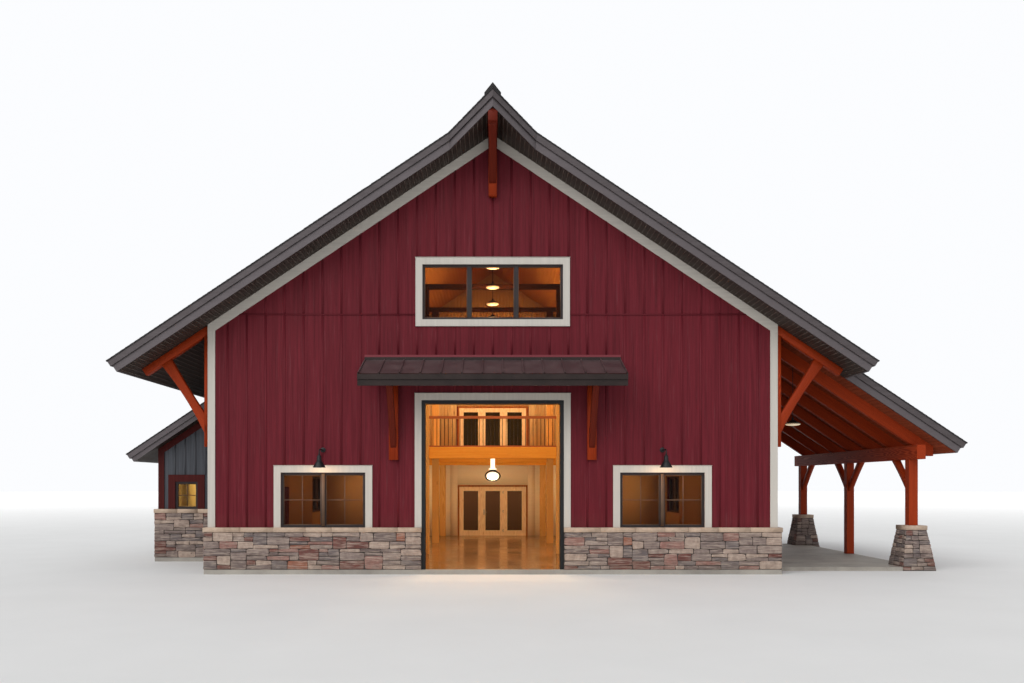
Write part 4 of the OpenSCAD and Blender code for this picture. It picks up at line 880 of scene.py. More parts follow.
end_windows = (-window_x, window_x)
left_windows = (-left_window_y, left_window_y)
side_places = {front: end_windows, right: end_windows, back: end_windows, left: left_windows}
unit_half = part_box("patio_casings")[1].x
unit_casing_h = 0.07
upper_unit = (-unit_half, unit_half, loft_z - unit_casing_h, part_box("patio_casings")[1].z)
lower_unit = (-unit_half, unit_half, 0.0, floor_z + unit_h + unit_casing_h)
awning_bracket_gap, prow_bracket_gap, bracket_hole_top = 0.12, 0.11, 5.6
awning_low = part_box("awning_roof")[0].z + 0.72
awning_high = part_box("awning_roof")[1].z
belt_hole = (-7.0, 7.0, belt_z - belt_h / 2, belt_z + belt_h / 2)
prow_hole = (-prow_bracket_gap, prow_bracket_gap, prow_foot_z, ridge_z)
front_holes = [
    *twin_windows(end_windows, casing_w), gable_window(casing_w),
    (-casing_half, casing_half, 0.0, casing_top),
    (-awning_half, awning_half, awning_low, awning_high),
    *((s * awning_bracket_x - awning_bracket_gap, s * awning_bracket_x + awning_bracket_gap,
       awning_foot_z, bracket_hole_top) for s in (-1, 1)),
    prow_hole, belt_hole,
]
back_holes = [*twin_windows(end_windows, casing_w), gable_window(casing_w), lower_unit, upper_unit,
              prow_hole, belt_hole]
left_holes = [*twin_windows(left_windows, casing_w),
              (-wing_y - wing_rake, wing_y + wing_rake, 0.0, wing_top + 0.02)]
right_holes = twin_windows(end_windows, casing_w)


def gable_top(u):
    """Where battens end under the rake frieze, a little way up behind it."""
    return under(u) - frieze_h / math.cos(pitch) + 0.04


def eave_top(_):
    """Where the battens of the side walls end, just under the soffit."""
    return under(half_w) - 0.02


def make_battens():
    """Red battens at every thirtieth of a wall's width, flush with the cap stones below, with a
    folded flashing across each gable."""
    step, width, thick, chamfer = 2 * half_w / 30, 0.055, 0.010, 0.004
    strips = [(k * step - width / 2, k * step + width / 2) for k in range(-14, 15)]
    walls = ((front, front_holes, gable_top), (back, back_holes, gable_top),
             (left, left_holes, eave_top), (right, right_holes, eave_top))
    shapes = [on_side(upright_boards(strips, thick, cap_top, top, holes, chamfer), side, half_w)
              for side, holes, top in walls]
    piece("red_battens", joined(*shapes), red_batten)
    belt_t, belt_y, past_frieze = 0.026, -0.011, 0.02
    gable_under = ridge_z - (roof_t + frieze_h) / math.cos(pitch)
    reach = (gable_under - belt_z) / slope + past_frieze
    inner = gable_w / 2 + casing_w
    belt = [bars([s * inner, belt_y, belt_z], [s * reach, belt_y, belt_z], (0, 1, 0), (0, 0, 1),
                 section(belt_t, belt_h, 0.003)) for s in (-1, 1)]
    belt = [on_side(shape, side, half_w) for shape in belt for side in (front, back)]
    piece("gable_flashing", joined(*belt), red_batten)


def wing_under_at(u):
    """Underside of the wing's roof, u out from the barn's side wall."""
    return wing_top - u * wing_slope - wing_roof_t / math.cos(math.atan(wing_slope))


def make_wing_battens():
    """Narrow battens on the wing's grey siding, between its trim boards."""
    step, width, thick, chamfer = 0.305, 0.045, 0.016, 0.003
    trim_w, frieze_drop, tuck = 0.18, 0.18 / math.cos(pitch), 0.02
    casing = 0.21
    window = (wing_window_x - wing_window_w / 2 - casing, wing_window_x + wing_window_w / 2 + casing)
    places = np.arange(half_w + 0.1, -wing_x - trim_w, step)
    strips = [(-u - width / 2, -u + width / 2) for u in places]
    low, high = wing_cap, wing_cap + wing_window_h + casing

    def end_top(u):
        return wing_under_at(u - half_w) - frieze_drop + tuck

    def side_top(_):
        return wing_under_at(-wing_x - half_w) - tuck

    ends = upright_boards(strips, thick, wing_cap, end_top, [(*window, low, high)], chamfer)
    mirrored = [(-b, -a) for a, b in strips]
    window = (-window[1], -window[0], low, high)
    other = upright_boards(mirrored, thick, wing_cap, end_top, [window], chamfer)
    places = np.arange(-11, 12) * step
    strips = [(u - width / 2, u + width / 2) for u in places if abs(u) < wing_y - trim_w - 0.01]
    half = wing_window_w / 2 + casing
    holes = [(s * wing_y / 2 - half, s * wing_y / 2 + half, low, high) for s in (-1, 1)]
    flank = upright_boards(strips, thick, wing_cap, side_top, holes, chamfer)
    piece("grey_battens", joined(on_side(ends, front, wing_y), on_side(other, back, wing_y),
                                 on_side(flank, left, -wing_x)), grey_batten)


# Stone base


def ashlar(u0, z0, u1, z1, course=0.105, talls=(0.58, 0.37, 0.05), longest=12):
    """Random ashlar: the lowest gap is always filled next, by a stone one to three rows high, in
    the shares of talls, and up to longest cells long, so that no upright joint runs far."""
    cell, shortest, spare = 0.058, 3, 4
    rows = max(2, round((z1 - z0) / course))
    heights = np.cumsum(chance.uniform(0.8, 1.25, rows))
    levels = z0 + (z1 - z0) * np.concatenate([[0], heights / heights[-1]])
    cells = max(3, round((u1 - u0) / cell))
    edges = np.linspace(u0, u1, cells + 1)
    built, stones = [0] * cells, []
    while min(built) < rows:
        row = min(built)
        first = built.index(row)
        after = next((c for c in range(first, cells) if built[c] != row), cells)
        gap = after - first
        tall = min(int(chance.choice([1, 2, 3], p=talls)), rows - row)
        long = int(chance.integers(shortest + tall, longest if tall < 3 else longest - 2))
        if gap < long + spare:
            long = gap if gap <= longest else gap // 2
        built[first:first + long] = [row + tall] * long
        stones.append((edges[first], levels[row], edges[first + long], levels[row + tall]))
    return np.array(stones)


def stone_shape(rects, joint=0.010, tones=None):
    """Split stones on a wall, one for each rectangle: a point of a stone's outline is the power
    0.2 of a circle's, leaning a little with its corners, and rings of it, drawn in step by step,
    stand out to a rough face that tilts a little."""
    count, around = len(rects), 12
    most_proud, least_half = 0.0225, 0.01
    middle = (rects[:, :2] + rects[:, 2:]) / 2
    half = (rects[:, 2:] - rects[:, :2] - joint) / 2
    angle = (np.arange(around) + 0.5) * 2 * math.pi / around
    circle = np.stack([np.cos(angle), np.sin(angle)], -1)
    outline = np.sign(circle) * np.abs(circle) ** 0.2
    lean = chance.uniform(-0.010, 0.010, (count, 1, 2)) * (outline[:, :1] * outline[:, 1:])
    wobble = chance.uniform(-0.007, 0.007, (count, around, 2)) + lean
    proud = chance.uniform(0.008, 0.020, count)
    tilt = (outline * chance.uniform(-0.16, 0.16, (count, 1, 2))).sum(-1)
    # Five rings, from the bed in the mortar to the middle of the face
    inset = np.array([0.0, 0.0, 0.005, 0.018, 0.0])
    share = np.array([1.0, 1.0, 1.0, 1.0, 0.5])
    depth = np.array([-0.4, 0.4, 0.85, 1.0, 1.05])
    rough = np.array([0.0, 0.001, 0.003, 0.004, 0.004])
    flat = np.maximum(half[:, None, None] - inset[:, None, None], least_half) * share[:, None, None]
    spots = middle[:, None, None] + outline * flat + wobble[:, None] * share[:, None, None]
    rings = np.empty((count, len(depth), around, 3))
    rings[..., 0], rings[..., 2] = spots[..., 0], spots[..., 1]
    bumps = chance.normal(0.0, 1.0, (count, len(depth), around)) * rough[:, None]
    high = depth[:, None] * (1 + np.where(depth > 0, share, 0)[:, None] * tilt[:, None])
    rings[..., 1] = -np.minimum(proud[:, None, None] * high + bumps, most_proud)
    return tubes(rings, tones)


def make_stones():
    """Ledgestone on the base of the barn and the wing."""
    lap, bed, under_cap = 0.008, 0.004, 0.002
    out = half_w + stone_out
    edge, end = out + lap, wing_y + stone_out
    door, unit = jamb_half + 0.004, unit_half + 0.005
    low, high = floor_z + bed, stone_top - under_cap
    ends = [on_side(stone_shape(ashlar(*strip)), side, out) for side, strip in (
        (front, (-edge, low, -door, high)), (front, (door, low, edge, high)),
        (back, (-edge, low, -unit, high)), (back, (unit, low, edge, high)))]
    piece("end_stones", joined(*ends), ledge, smooth=50)
    flanks = [on_side(stone_shape(ashlar(*strip)), side, out) for side, strip in (
        (right, (-edge, low, edge, high)), (left, (-edge, low, -end, high)),
        (left, (end, low, edge, high)))]
    piece("side_stones", joined(*flanks), ledge, smooth=50)
    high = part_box("wing_stone")[1].z - under_cap
    reach, corner = -wing_x + stone_out, out + 0.02
    wing = [on_side(stone_shape(ashlar(*strip)), side, away) for side, away, strip in (
        (left, reach, (-end - lap, low, end + lap, high)),
        (front, end, (-reach - lap, low, -corner, high)),
        (back, end, (corner, low, reach + lap, high)))]
    piece("wing_stones", joined(*wing), ledge, smooth=50)


def make_pier_stones():
    """Smaller, greyer stones with wide joints on the leaning sides of the porch's two piers."""
    foot, head, tall = pier_foot, pier_head, stone_top
    lap, low, high = 0.006, 0.010, stone_top - 0.002
    course, talls, longest, joint = 0.12, (0.82, 0.18, 0.0), 8, 0.014
    greys = [0.08, 0.25, 0.40, 0.50, 0.60, 0.70, 0.80]
    grey_shares = [0.22, 0.10, 0.24, 0.10, 0.08, 0.06, 0.20]

    def lean(p):
        """x shrinks and y draws back in step with the pier's half width at that height."""
        half = foot + (head - foot) * p[:, 2] / tall
        return np.stack([p[:, 0] * half / foot, p[:, 1] - half, p[:, 2]], -1)

    piers = []
    for y in pier_y:
        for side in range(4):
            rects = ashlar(-foot - lap, low, foot + lap, high, course, talls, longest)
            tones = chance.choice(greys, len(rects), p=grey_shares)
            shape = on_side(moved(stone_shape(rects, joint, tones), lean), side, 0.0)
            piers.append(moved(shape, lambda p, y=y: p + np.array([porch_x, y, 0.0])))
    piece("pier_stones", joined(*piers), ledge, smooth=50)


def cap_run(u0, u1, deep, low, high):
    """Cap stones laid end to end along a wall from u0 to u1, of a random length each."""
    length, joint, chamfer = 0.78, 0.004, 0.009
    count = max(1, round((u1 - u0) / length))
    shares = np.cumsum(chance.uniform(0.75, 1.25, count))
    joints = u0 + (u1 - u0) * np.concatenate([[0], shares / shares[-1]])
    y, z = -deep / 2, (low + high) / 2
    a = np.stack([joints[:-1] + joint / 2, np.full(count, y), np.full(count, z)], -1)
    b = np.stack([joints[1:] - joint / 2, np.full(count, y), np.full(count, z)], -1)
    return bars(a, b, (0, 1, 0), (0, 0, 1), section(deep, high - low, chamfer))


def make_caps():
    """The sawn caps over the stone, in place of the plain ones."""
    deep = cap_out
    low, high = stone_top, cap_top
    edge, end = half_w + deep, wing_y + stone_out
    runs = [on_side(cap_run(*span, deep, low, high), side, half_w) for side, span in (
        (front, (-edge, -jamb_half)), (front, (jamb_half, edge)), (back, (-edge, -unit_half)),
        (back, (unit_half, edge)), (right, (-half_d, half_d)), (left, (-half_d, -end)),
        (left, (end, half_d)))]
    low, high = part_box("wing_stone")[1].z, wing_cap
    reach = -wing_x + deep
    runs += [on_side(cap_run(-wing_y, wing_y, deep, low, high), left, -wing_x),
             on_side(cap_run(-reach, -half_w, deep, low, high), front, wing_y),
             on_side(cap_run(half_w, reach, deep, low, high), back, wing_y)]
    middle, tall = (stone_top + cap_top) / 2, cap_top - stone_top
    for y in pier_y:
        runs.append(bars([porch_x - pier_cap, y, middle], [porch_x + pier_cap, y, middle],
                         (0, 1, 0), (0, 0, 1), section(2 * pier_cap, tall, 0.012)))
    made = piece("cap_stones", joined(*runs), cap_stone)
    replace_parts(made, "stone_caps")


# Roofs


def shingle_field(side, start, ridge, s0, s1, limits):
    """Courses of shingles on a slope. A point s down the slope and h above it is
    (side * (start + s * cos + h * sin), y, ridge - s * sin + h * cos). limits(x) gives the lowest
    and highest y at x."""
    course, tab, lap, slot, uneven, least = 0.143, 0.262, 0.012, 0.004, 0.03, 0.02
    top_h, butt_h = (0.0005, 0.003), (0.003, 0.0095)
    rows = max(1, round((s1 - s0) / course))
    step = (s1 - s0) / rows
    row = np.arange(rows)
    tops = s0 + row * step - np.where(row > 0, lap, 0.0)
    butts = s0 + (row + 1) * step
    cos, sin = math.cos(pitch), math.sin(pitch)
    y0, y1 = limits(start)
    count = int((y1 - y0) / tab) + 3
    edges = (y0 - chance.uniform(0, tab, rows))[:, None] + np.arange(count + 1) * tab
    edges = edges + chance.uniform(-uneven, uneven, edges.shape)
    rings = np.empty((rows, count, 2, 4, 3))
    for end, s, (low, high) in ((0, tops, top_h), (1, butts, butt_h)):
        reach = start + s * cos
        near, far = (np.reshape(limit, (-1, 1)) for limit in limits(reach))
        a = np.clip(edges[:, :-1] + slot / 2, near, far)
        b = np.clip(edges[:, 1:] - slot / 2, near, far)
        for corner, (y, h) in enumerate(((a, low), (b, low), (b, high), (a, high))):
            rings[:, :, end, corner, 0] = side * (reach + h * sin)[:, None]
            rings[:, :, end, corner, 1] = y
            rings[:, :, end, corner, 2] = (ridge - s * sin + h * cos)[:, None]
    rings = rings.reshape(-1, 2, 4, 3)
    wide = rings[:, :, 1, 1] - rings[:, :, 0, 1]
    return tubes(rings[wide.max(1) > least])


def main_limits(x):
    """The main roof's outline: straight rakes, and a prow that comes to a point at the ridge."""
    tip = rake_tip - 0.001
    half = np.maximum(tip - prow_out * np.abs(x) / prow_half, half_d + rake_over) + 0 * np.asarray(x)
    return -half, half


def between(y0, y1):
    """Limits that are the same all the way down a slope."""
    return lambda x: (y0 + 0 * np.asarray(x), y1 + 0 * np.asarray(x))


def make_roofing():
    """Shingles on the two slopes of the main roof, on the porch and on the wing."""
    cos = math.cos(pitch)
    drawn_in, under_cap, over_drip = 0.001, 0.14, 0.007
    main_s = main_edge / cos - drawn_in
    first = under_cap / cos
    for name, side in (("shingles_left", -1), ("shingles_right", 1)):
        piece(name, shingle_field(side, 0.0, ridge_z, first, main_s, main_limits), shingle)
    y0, y1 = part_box("porch_ceiling")[0].y - fascia_in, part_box("porch_ceiling")[1].y + fascia_in
    lower = shingle_field(1, main_edge, ridge_z - main_edge * slope, 0.0,
                          (roof_end - main_edge) / cos - over_drip, between(y0, y1))
    piece("shingles_porch", lower, shingle)
    reach = wing_y + wing_rake - drawn_in
    over = shingle_field(-1, half_w, wing_top, 0.0, (wing_end - half_w) / cos - over_drip,
                         between(-reach, reach))
    piece("shingles_wing", over, shingle)


def make_ridge():
    """Cap shingles folded over the ridge, above a slim vent. Their ends follow the two prows."""
    length, lap, thick, sunk, vent_in = 0.143, 0.012, 0.009, 0.008, 0.012
    edge_t, vent_drop, lift = 0.06, 0.018, 0.001
    half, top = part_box("ridge_cap")[1].x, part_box("ridge_cap")[1].z
    edge = ridge_z - half * slope + edge_t / math.cos(pitch)
    turn = prow_out / prow_half
    ends = np.linspace(-rake_tip, rake_tip, round(2 * rake_tip / length) + 1)

    def ring(y, drop):
        """A folded strip at y, its top face drop under the cap's and its lower face thick below."""
        x = np.array([-half, 0, half, half, 0, -half])
        z = np.array([edge, top, edge, edge, top, edge]) - drop
        z[3:] -= thick
        limit = rake_tip - turn * np.abs(x)
        return np.stack([np.broadcast_to(x, (len(y), 6)), np.clip(y[:, None], -limit, limit),
                         np.broadcast_to(z, (len(y), 6))], -1)

    rings = np.stack([ring(ends[:-1], 0.0), ring(np.minimum(ends[1:] + lap, rake_tip), sunk)], 1)
    caps = piece("ridge_shingles", tubes(rings), shingle)
    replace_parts(caps, "ridge_cap")
    x = np.array([-1, 0, 1, 1, 0, -1]) * (half - vent_in)
    z = np.array([edge, top, edge, 0, 0, 0]) - vent_drop
    z[3:] = top_at(x[3:]) + lift
    limit = rake_tip - turn * np.abs(x) - vent_in
    body = np.stack([np.stack([x, s * limit, z], -1) for s in (-1, 1)])[None]
    piece("ridge_vent", tubes(body), underlay)


def make_soffit_ribs():
    """The ribs of the folded soffit boards, 0.13 m apart down the slope, which run along Y from the
    gable walls to the fascia and the length of the eaves."""
    step, first, from_edge, sunk = 0.13 * math.cos(pitch), 0.15, 0.3, 0.002
    x = np.arange(first, main_edge - from_edge, step)
    reach = main_limits(x)[1] - fascia_in - 0.04
    across = np.array([math.cos(pitch), 0, -math.sin(pitch)])
    shape = section(0.022, 0.014, 0.003)
    ribs = []
    for side in (-1, 1):
        u = across * (side, 1, 1)
        v = np.array([-u[2], 0, u[0]])

        def rows(xs, y0, y1):
            z = under(xs) - sunk
            a, b = (np.stack([side * xs, np.broadcast_to(y, xs.shape), z], -1) for y in (y0, y1))
            return bars(a, b, u, v, shape)

        ribs += [rows(x, half_d, reach), rows(x, -reach, -half_d)]
        out = x[x > half_w + 0.05]
        if side < 0:
            ribs.append(rows(out, -half_d, half_d))
        else:
            low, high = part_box("porch_ceiling")
            ribs += [rows(out, -half_d, low.y), rows(out, high.y, half_d)]
    piece("soffit_ribs", joined(*ribs), rib_metal)


def sloped_boards(side, x0, x1, y0, y1, drop, wide=0.14, thick=0.012):
    """Boards along Y under a slope, side by side down it, drop below the top plane."""
    cos, sin = math.cos(pitch), math.sin(pitch)
    x = np.arange(x0 + wide * cos / 2, x1, wide * cos)
    z = top_at(x) - drop - thick / 2 / cos
    a, b = (np.stack([side * x, np.full(len(x), y), z], -1) for y in (y0, y1))
    u, v = np.array([side * cos, 0, -sin]), np.array([side * sin, 0, cos])
    return bars(a, b, u, v, section(wide - 0.001, thick, 0.004))


def make_ceilings():
    """Pine boards under the hall's roof, and stained ones under the porch's."""
    cos = math.cos(pitch)
    core = (roof_t - soffit_t) / cos
    hall = [sloped_boards(side, 0.02, inner_w - 0.02, -wall_in_y, wall_in_y, core) for side in (-1, 1)]
    piece("hall_ceiling", joined(*hall), pine_uv)
    low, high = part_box("porch_ceiling")
    boards = sloped_boards(1, half_w + 0.03, high.x - 0.05, low.y + 0.002, high.y - 0.002, roof_t / cos)
    piece("porch_boards", boards, ceiling_wood)


def make_linings():
    """Inside walls: upright pine boards, but smooth plaster on the end walls below the loft. They
    are made as if seen from inside, so the front wall's side number is the back's."""
    plaster_t, board_t, boards = 0.010, 0.016, 102
    split = loft_under
    peak = ridge_z - (roof_t - soffit_t) / math.cos(pitch)
    unit = [(-unit_half, unit_half, 0.0, lower_unit[3]), upper_unit]
    passage = (-passage_half, passage_half, 0.0, floor_z + passage_h)
    door = (-jamb_half, jamb_half, 0.0, jamb_top)
    walls = (
        (front, [*twin_windows(end_windows), gable_window(), *unit], True),
        (back, [*twin_windows(end_windows), gable_window(), door], True),
        (right, [*twin_windows(left_windows), passage], False),
        (left, twin_windows(end_windows), False),
    )
    edges = np.linspace(-inner_w, inner_w, boards + 1)
    strips = list(zip(edges[:-1], edges[1:]))
    smooth, boarded = [], []
    for side, holes, gable in walls:
        if gable:
            cuts = sorted({-inner_w, inner_w, *(u for gap in holes for u in gap[:2])})
            sheets = upright_boards(list(zip(cuts[:-1], cuts[1:])), plaster_t, floor_z, lambda u: split,
                                    [gap for gap in holes if gap[2] < split])
            smooth.append(on_side(sheets, side, -inner_w))
        top = (lambda u: peak - u * slope) if gable else (lambda u: peak - inner_w * slope)
        foot = split if gable else floor_z + 0.002
        shape = upright_boards(strips, board_t, foot, top, holes, 0.005)
        boarded.append(on_side(shape, side, -inner_w))
    piece("plaster_lining", joined(*smooth), cream_wall)
    piece("pine_lining", joined(*boarded), lining_wood)


def make_floor_boards():
    """Loft boards laid across the barn."""
    step, wide, thick = 0.14, 0.138, 0.012
    y = np.arange(loft_front + 0.09, wall_in_y - 0.05, step)
    a, b = (np.stack([np.full(len(y), s * (inner_w - 0.02)), y, np.full(len(y), loft_z + 0.002)], -1)
            for s in (-1, 1))
    boards = bars(a, b, (0, 1, 0), (0, 0, 1), section(wide, thick, 0.003))
    piece("loft_boards", boards, pine_uv)


# Windows


def sash(u0, u1, z0, z1, deep, bars_u=(), bars_z=(), wide=0.018, thin=0.022):
    """One sash in a window, its stiles and rails round the pane, and thin muntins across it."""
    y = -deep
    shapes = []
    stile, lattice = section(wide, 0.030, 0.003), section(thin, 0.018, 0.003)
    for u in (u0 + wide / 2, u1 - wide / 2):
        shapes.append(bars([u, y, z0], [u, y, z1], (1, 0, 0), (0, 1, 0), stile))
    for z in (z0 + wide / 2, z1 - wide / 2):
        shapes.append(bars([u0 + wide, y, z], [u1 - wide, y, z], (0, 0, 1), (0, 1, 0), stile))
    for u in bars_u:
        shapes.append(bars([u, y, z0 + wide], [u, y, z1 - wide], (1, 0, 0), (0, 1, 0), lattice))
    for z in bars_z:
        shapes.append(bars([u0 + wide, y, z], [u1 - wide, y, z], (0, 0, 1), (0, 1, 0), lattice))
    return shapes


def lattice_window(place, width, low, height, sashes, frame_bar, post, crossed=True):
    """The sashes of one window. Where asked, each has muntins crossed at its middle, and a cover
    strip stands on each post between them."""
    clear_w = (width - 2 * frame_bar - (sashes - 1) * post) / sashes
    starts = [place - width / 2 + frame_bar + k * (clear_w + post) for k in range(sashes)]
    z0, z1 = low + frame_bar, low + height - frame_bar
    cover, cover_y, cover_in, before_glass = section(0.085, 0.012, 0.003), -0.005, 0.03, 0.004
    shapes = []
    for u0 in starts:
        middle_u, middle_z = ((u0 + clear_w / 2,), ((z0 + z1) / 2,)) if crossed else ((), ())
        shapes += sash(u0, u0 + clear_w, z0, z1, before_glass - glass_y, middle_u, middle_z)
    for u0 in starts[1:] if crossed else ():
        u = u0 - post / 2
        shapes.append(bars([u, cover_y, low + cover_in], [u, cover_y, low + height - cover_in],
                           (1, 0, 0), (0, 1, 0), cover))
    return shapes


def make_sashes():
    """Sashes and muntins in all the windows of the barn and of its wing."""
    made = []
    for side, places in side_places.items():
        for place in places:
            shapes = lattice_window(place, window_w, cap_top, window_h, 2, window_bar, window_post)
            made += [on_side(shape, side, half_w) for shape in shapes]
        if side in (front, back):
            shapes = lattice_window(0, gable_w, gable_z, gable_h, 3, gable_bar, gable_post, False)
            made += [on_side(shape, side, half_w) for shape in shapes]
    for side, place, reach in ((front, wing_window_x, wing_y), (back, -wing_window_x, wing_y),
                               (left, wing_y / 2, -wing_x), (left, -wing_y / 2, -wing_x)):
        shapes = lattice_window(place, wing_window_w, wing_cap, wing_window_h, 1, window_bar, 0)
        made += [on_side(shape, side, reach) for shape in shapes]
    piece("window_sashes", joined(*made), sash_metal)


def make_drip_caps():
    """A small folded flashing over the head casing of each window and doorway."""
    shape, y, past, lift = section(0.052, 0.010, 0.003), -0.024, 0.01, 0.006

    def cap(side, place, half, head):
        """A flashing over a casing that is half wide to each side of place and ends at head."""
        reach, z = half + past, head + lift
        run = bars([place - reach, y, z], [place + reach, y, z], (0, 1, 0), (0, 0, 1), shape)
        return on_side(run, side, half_w)

    runs = []
    for side, places in side_places.items():
        for place in places:
            runs.append(cap(side, place, window_w / 2 + casing_w, cap_top + window_h + casing_w))
        if side in (front, back):
            runs.append(cap(side, 0.0, gable_w / 2 + casing_w, gable_z + gable_h + casing_w))
    runs.append(cap(front, 0.0, casing_half, casing_top))
    piece("drip_caps", joined(*runs), pale_x)


# Timber frames. A bracket is drawn in its own plane, r out from the wall and z up, and is carried
# into the barn by a place for its wall end and a direction outwards.


def bow(a, b, share, steps=13):
    """An arc from a to b that bows to its left: a + s (b - a) + 4 share s (1 - s) n, n being the
    line from a to b turned a quarter."""
    s = np.linspace(0, 1, steps)[:, None]
    e = np.subtract(b, a)
    return a + e * s + 4 * share * s * (1 - s) * np.array([-e[1], e[0]])


def in_plane(points, origin, out):
    """Points (r, w, z) of a bracket in the barn: origin + r out + w across, at height z."""
    out = np.array([*out, 0.0])
    across = np.array([-out[1], out[0], 0.0])
    r, w, z = points[..., 0:1], points[..., 1:2], points[..., 2:3]
    return np.array([*origin, 0.0]) + r * out + w * across + z * np.array([0, 0, 1.0])


def timber_rings(lower, upper, width, chamfer=0.014):
    """Rings of a timber between a lower and an upper edge in its plane, with chamfered corners."""
    middle, span = (lower + upper) / 2, upper - lower
    deep = np.linalg.norm(span, axis=1, keepdims=True)
    unit = span / deep
    half_a, half_b = width / 2, deep / 2
    corner = section(1.0, 1.0, 0.25)
    w = np.sign(corner[:, 0]) * np.where(np.abs(corner[:, 0]) > 0.4, half_a, half_a - chamfer)
    e = np.sign(corner[:, 1]) * np.where(np.abs(corner[:, 1]) > 0.4, half_b, half_b - chamfer)
    rz = middle[:, None] + unit[:, None] * e[..., None]
    return np.stack([rz[..., 0], np.broadcast_to(w, rz.shape[:2]), rz[..., 1]], -1)


def curved_brace(foot, head, deep, width, origin, out, lower=0.02, upper=0.02, tenon=0.06):
    """A knee brace from foot to head, both on its lower edge, whose two edges bow inwards."""
    a, b = np.array(foot), np.array(head)
    way = (b - a) / np.linalg.norm(b - a)
    n = np.array([-way[1], way[0]]) * deep
    low = bow(a - tenon * way, b + tenon * way, lower)
    high = bow(b + tenon * way + n, a - tenon * way + n, upper)[::-1]
    return tubes(in_plane(timber_rings(low, high, width), origin, out)[None])


def straight_timber(a, b, deep, width, origin, out):
    """A straight timber, deep on the left of its lower edge from a to b."""
    a, b = np.array(a, float), np.array(b, float)
    way = (b - a) / np.linalg.norm(b - a)
    n = np.array([-way[1], way[0]]) * deep
    rings = timber_rings(np.stack([a, b]), np.stack([a + n, b + n]), width)
    return tubes(in_plane(rings, origin, out)[None])


def pegs(places, width, origin, out, radius=0.013, proud=0.006, around=10):
    """Round oak pegs through a joint, seen on both faces of a timber."""
    angle = np.arange(around) * 2 * math.pi / around
    reach = width / 2 + proud
    ring = np.stack([np.cos(angle), np.sin(angle)], -1) * radius
    rings = np.array([[np.stack([r + ring[:, 0], np.full(around, w), z + ring[:, 1]], -1)
                       for w in (-reach, reach)] for r, z in places])
    return tubes(in_plane(rings, origin, out))


def make_awning_brackets():
    """Two brackets under the awning: a flat post, an arm under the deck and a waisted brace."""
    fall = awning_fall / awning_out
    under_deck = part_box("awning_brackets")[1].z
    post_deep, post_wide, below_deck = 0.10, 0.235, 0.10
    arm_deep, arm_wide, arm_reach = 0.15, 0.18, 1.14
    brace_deep, brace_wide, brace_foot_z, brace_reach = 0.215, 0.16, 3.24, 1.0797
    arm_z = under_deck - math.hypot(1, fall) * arm_deep
    post = (post_deep, awning_foot_z), (post_deep, under_deck - below_deck)
    arm = (0.0, arm_z), (arm_reach, arm_z - arm_reach * fall)
    brace = (post_deep, brace_foot_z), (brace_reach, under_deck - brace_reach * fall - arm_deep)
    peg_places = [(post_deep / 2, z) for z in (3.40, 3.52)]
    shapes, braces = [], []
    for x in (-awning_bracket_x, awning_bracket_x):
        place = (x, -half_d), (0, -1)
        shapes.append(straight_timber(*post, post_deep, post_wide, *place))
        shapes.append(straight_timber(*arm, arm_deep, arm_wide, *place))
        braces.append(curved_brace(*brace, brace_deep, brace_wide, *place))
        shapes.append(pegs(peg_places, post_wide, *place))
    made = piece("awning_timbers", joined(*shapes), stained_uv)
    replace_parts(made, "awning_brackets")
    # The braces take the orange stain darkened as painted shade.
    made = piece("awning_braces", joined(*braces), painted_shade_stain)
    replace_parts(made, "awning_brackets")


def make_prow_brackets():
    """Under each prow: a post on the gable, the end of the ridge beam and a waisted brace."""
    post_deep, post_wide, into_beam = 0.2, 0.214, 0.05
    brace_deep, brace_wide, brace_foot_z, brace_in = 0.215, 0.188, 9.99, 0.13
    beam_half, beam_h, beam_reach, chamfer = 0.115, 0.32, 1.63, 0.014
    end_slant, end_share, gap = 0.02, 0.88, 0.0008
    beam_low = under(0) - beam_h - gap / 2
    beam_middle = beam_low + beam_h / 2
    side_top = under(beam_half) - gap
    outline = [(-beam_half, beam_low + chamfer), (-beam_half, side_top), (0, under(0) - gap),
               (beam_half, side_top), (beam_half, beam_low + chamfer),
               (beam_half - chamfer, beam_low), (chamfer - beam_half, beam_low)]
    w, z = np.array(outline).T
    beam = np.stack([
        np.stack([np.full(len(w), r), w * share, beam_middle + (z - beam_middle) * share], -1)
        for r, share in ((0.0, 1.0), (beam_reach - end_slant, 1.0), (beam_reach, end_share))])
    post = (post_deep, prow_foot_z), (post_deep, beam_low + into_beam)
    brace = (post_deep, brace_foot_z), (beam_reach - brace_in, beam_low)
    peg_places = [(post_deep / 2, z) for z in (10.15, 10.27)]
    shapes, braces = [], []
    for way in (-1, 1):
        place = (0, way * half_d), (0, way)
        shapes.append(straight_timber(*post, post_deep, post_wide, *place))
        braces.append(curved_brace(*brace, brace_deep, brace_wide, *place))
        braces.append(tubes(in_plane(beam, *place)[None]))
        shapes.append(pegs(peg_places, post_wide, *place))
    made = piece("prow_timbers", joined(*shapes), stained_uv)
    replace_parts(made, "prow_brackets")
    # The braces and the ridge beam's ends take the orange stain darkened as painted shade.
    made = piece("prow_braces", joined(*braces), painted_shade_stain)
    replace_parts(made, "prow_brackets")


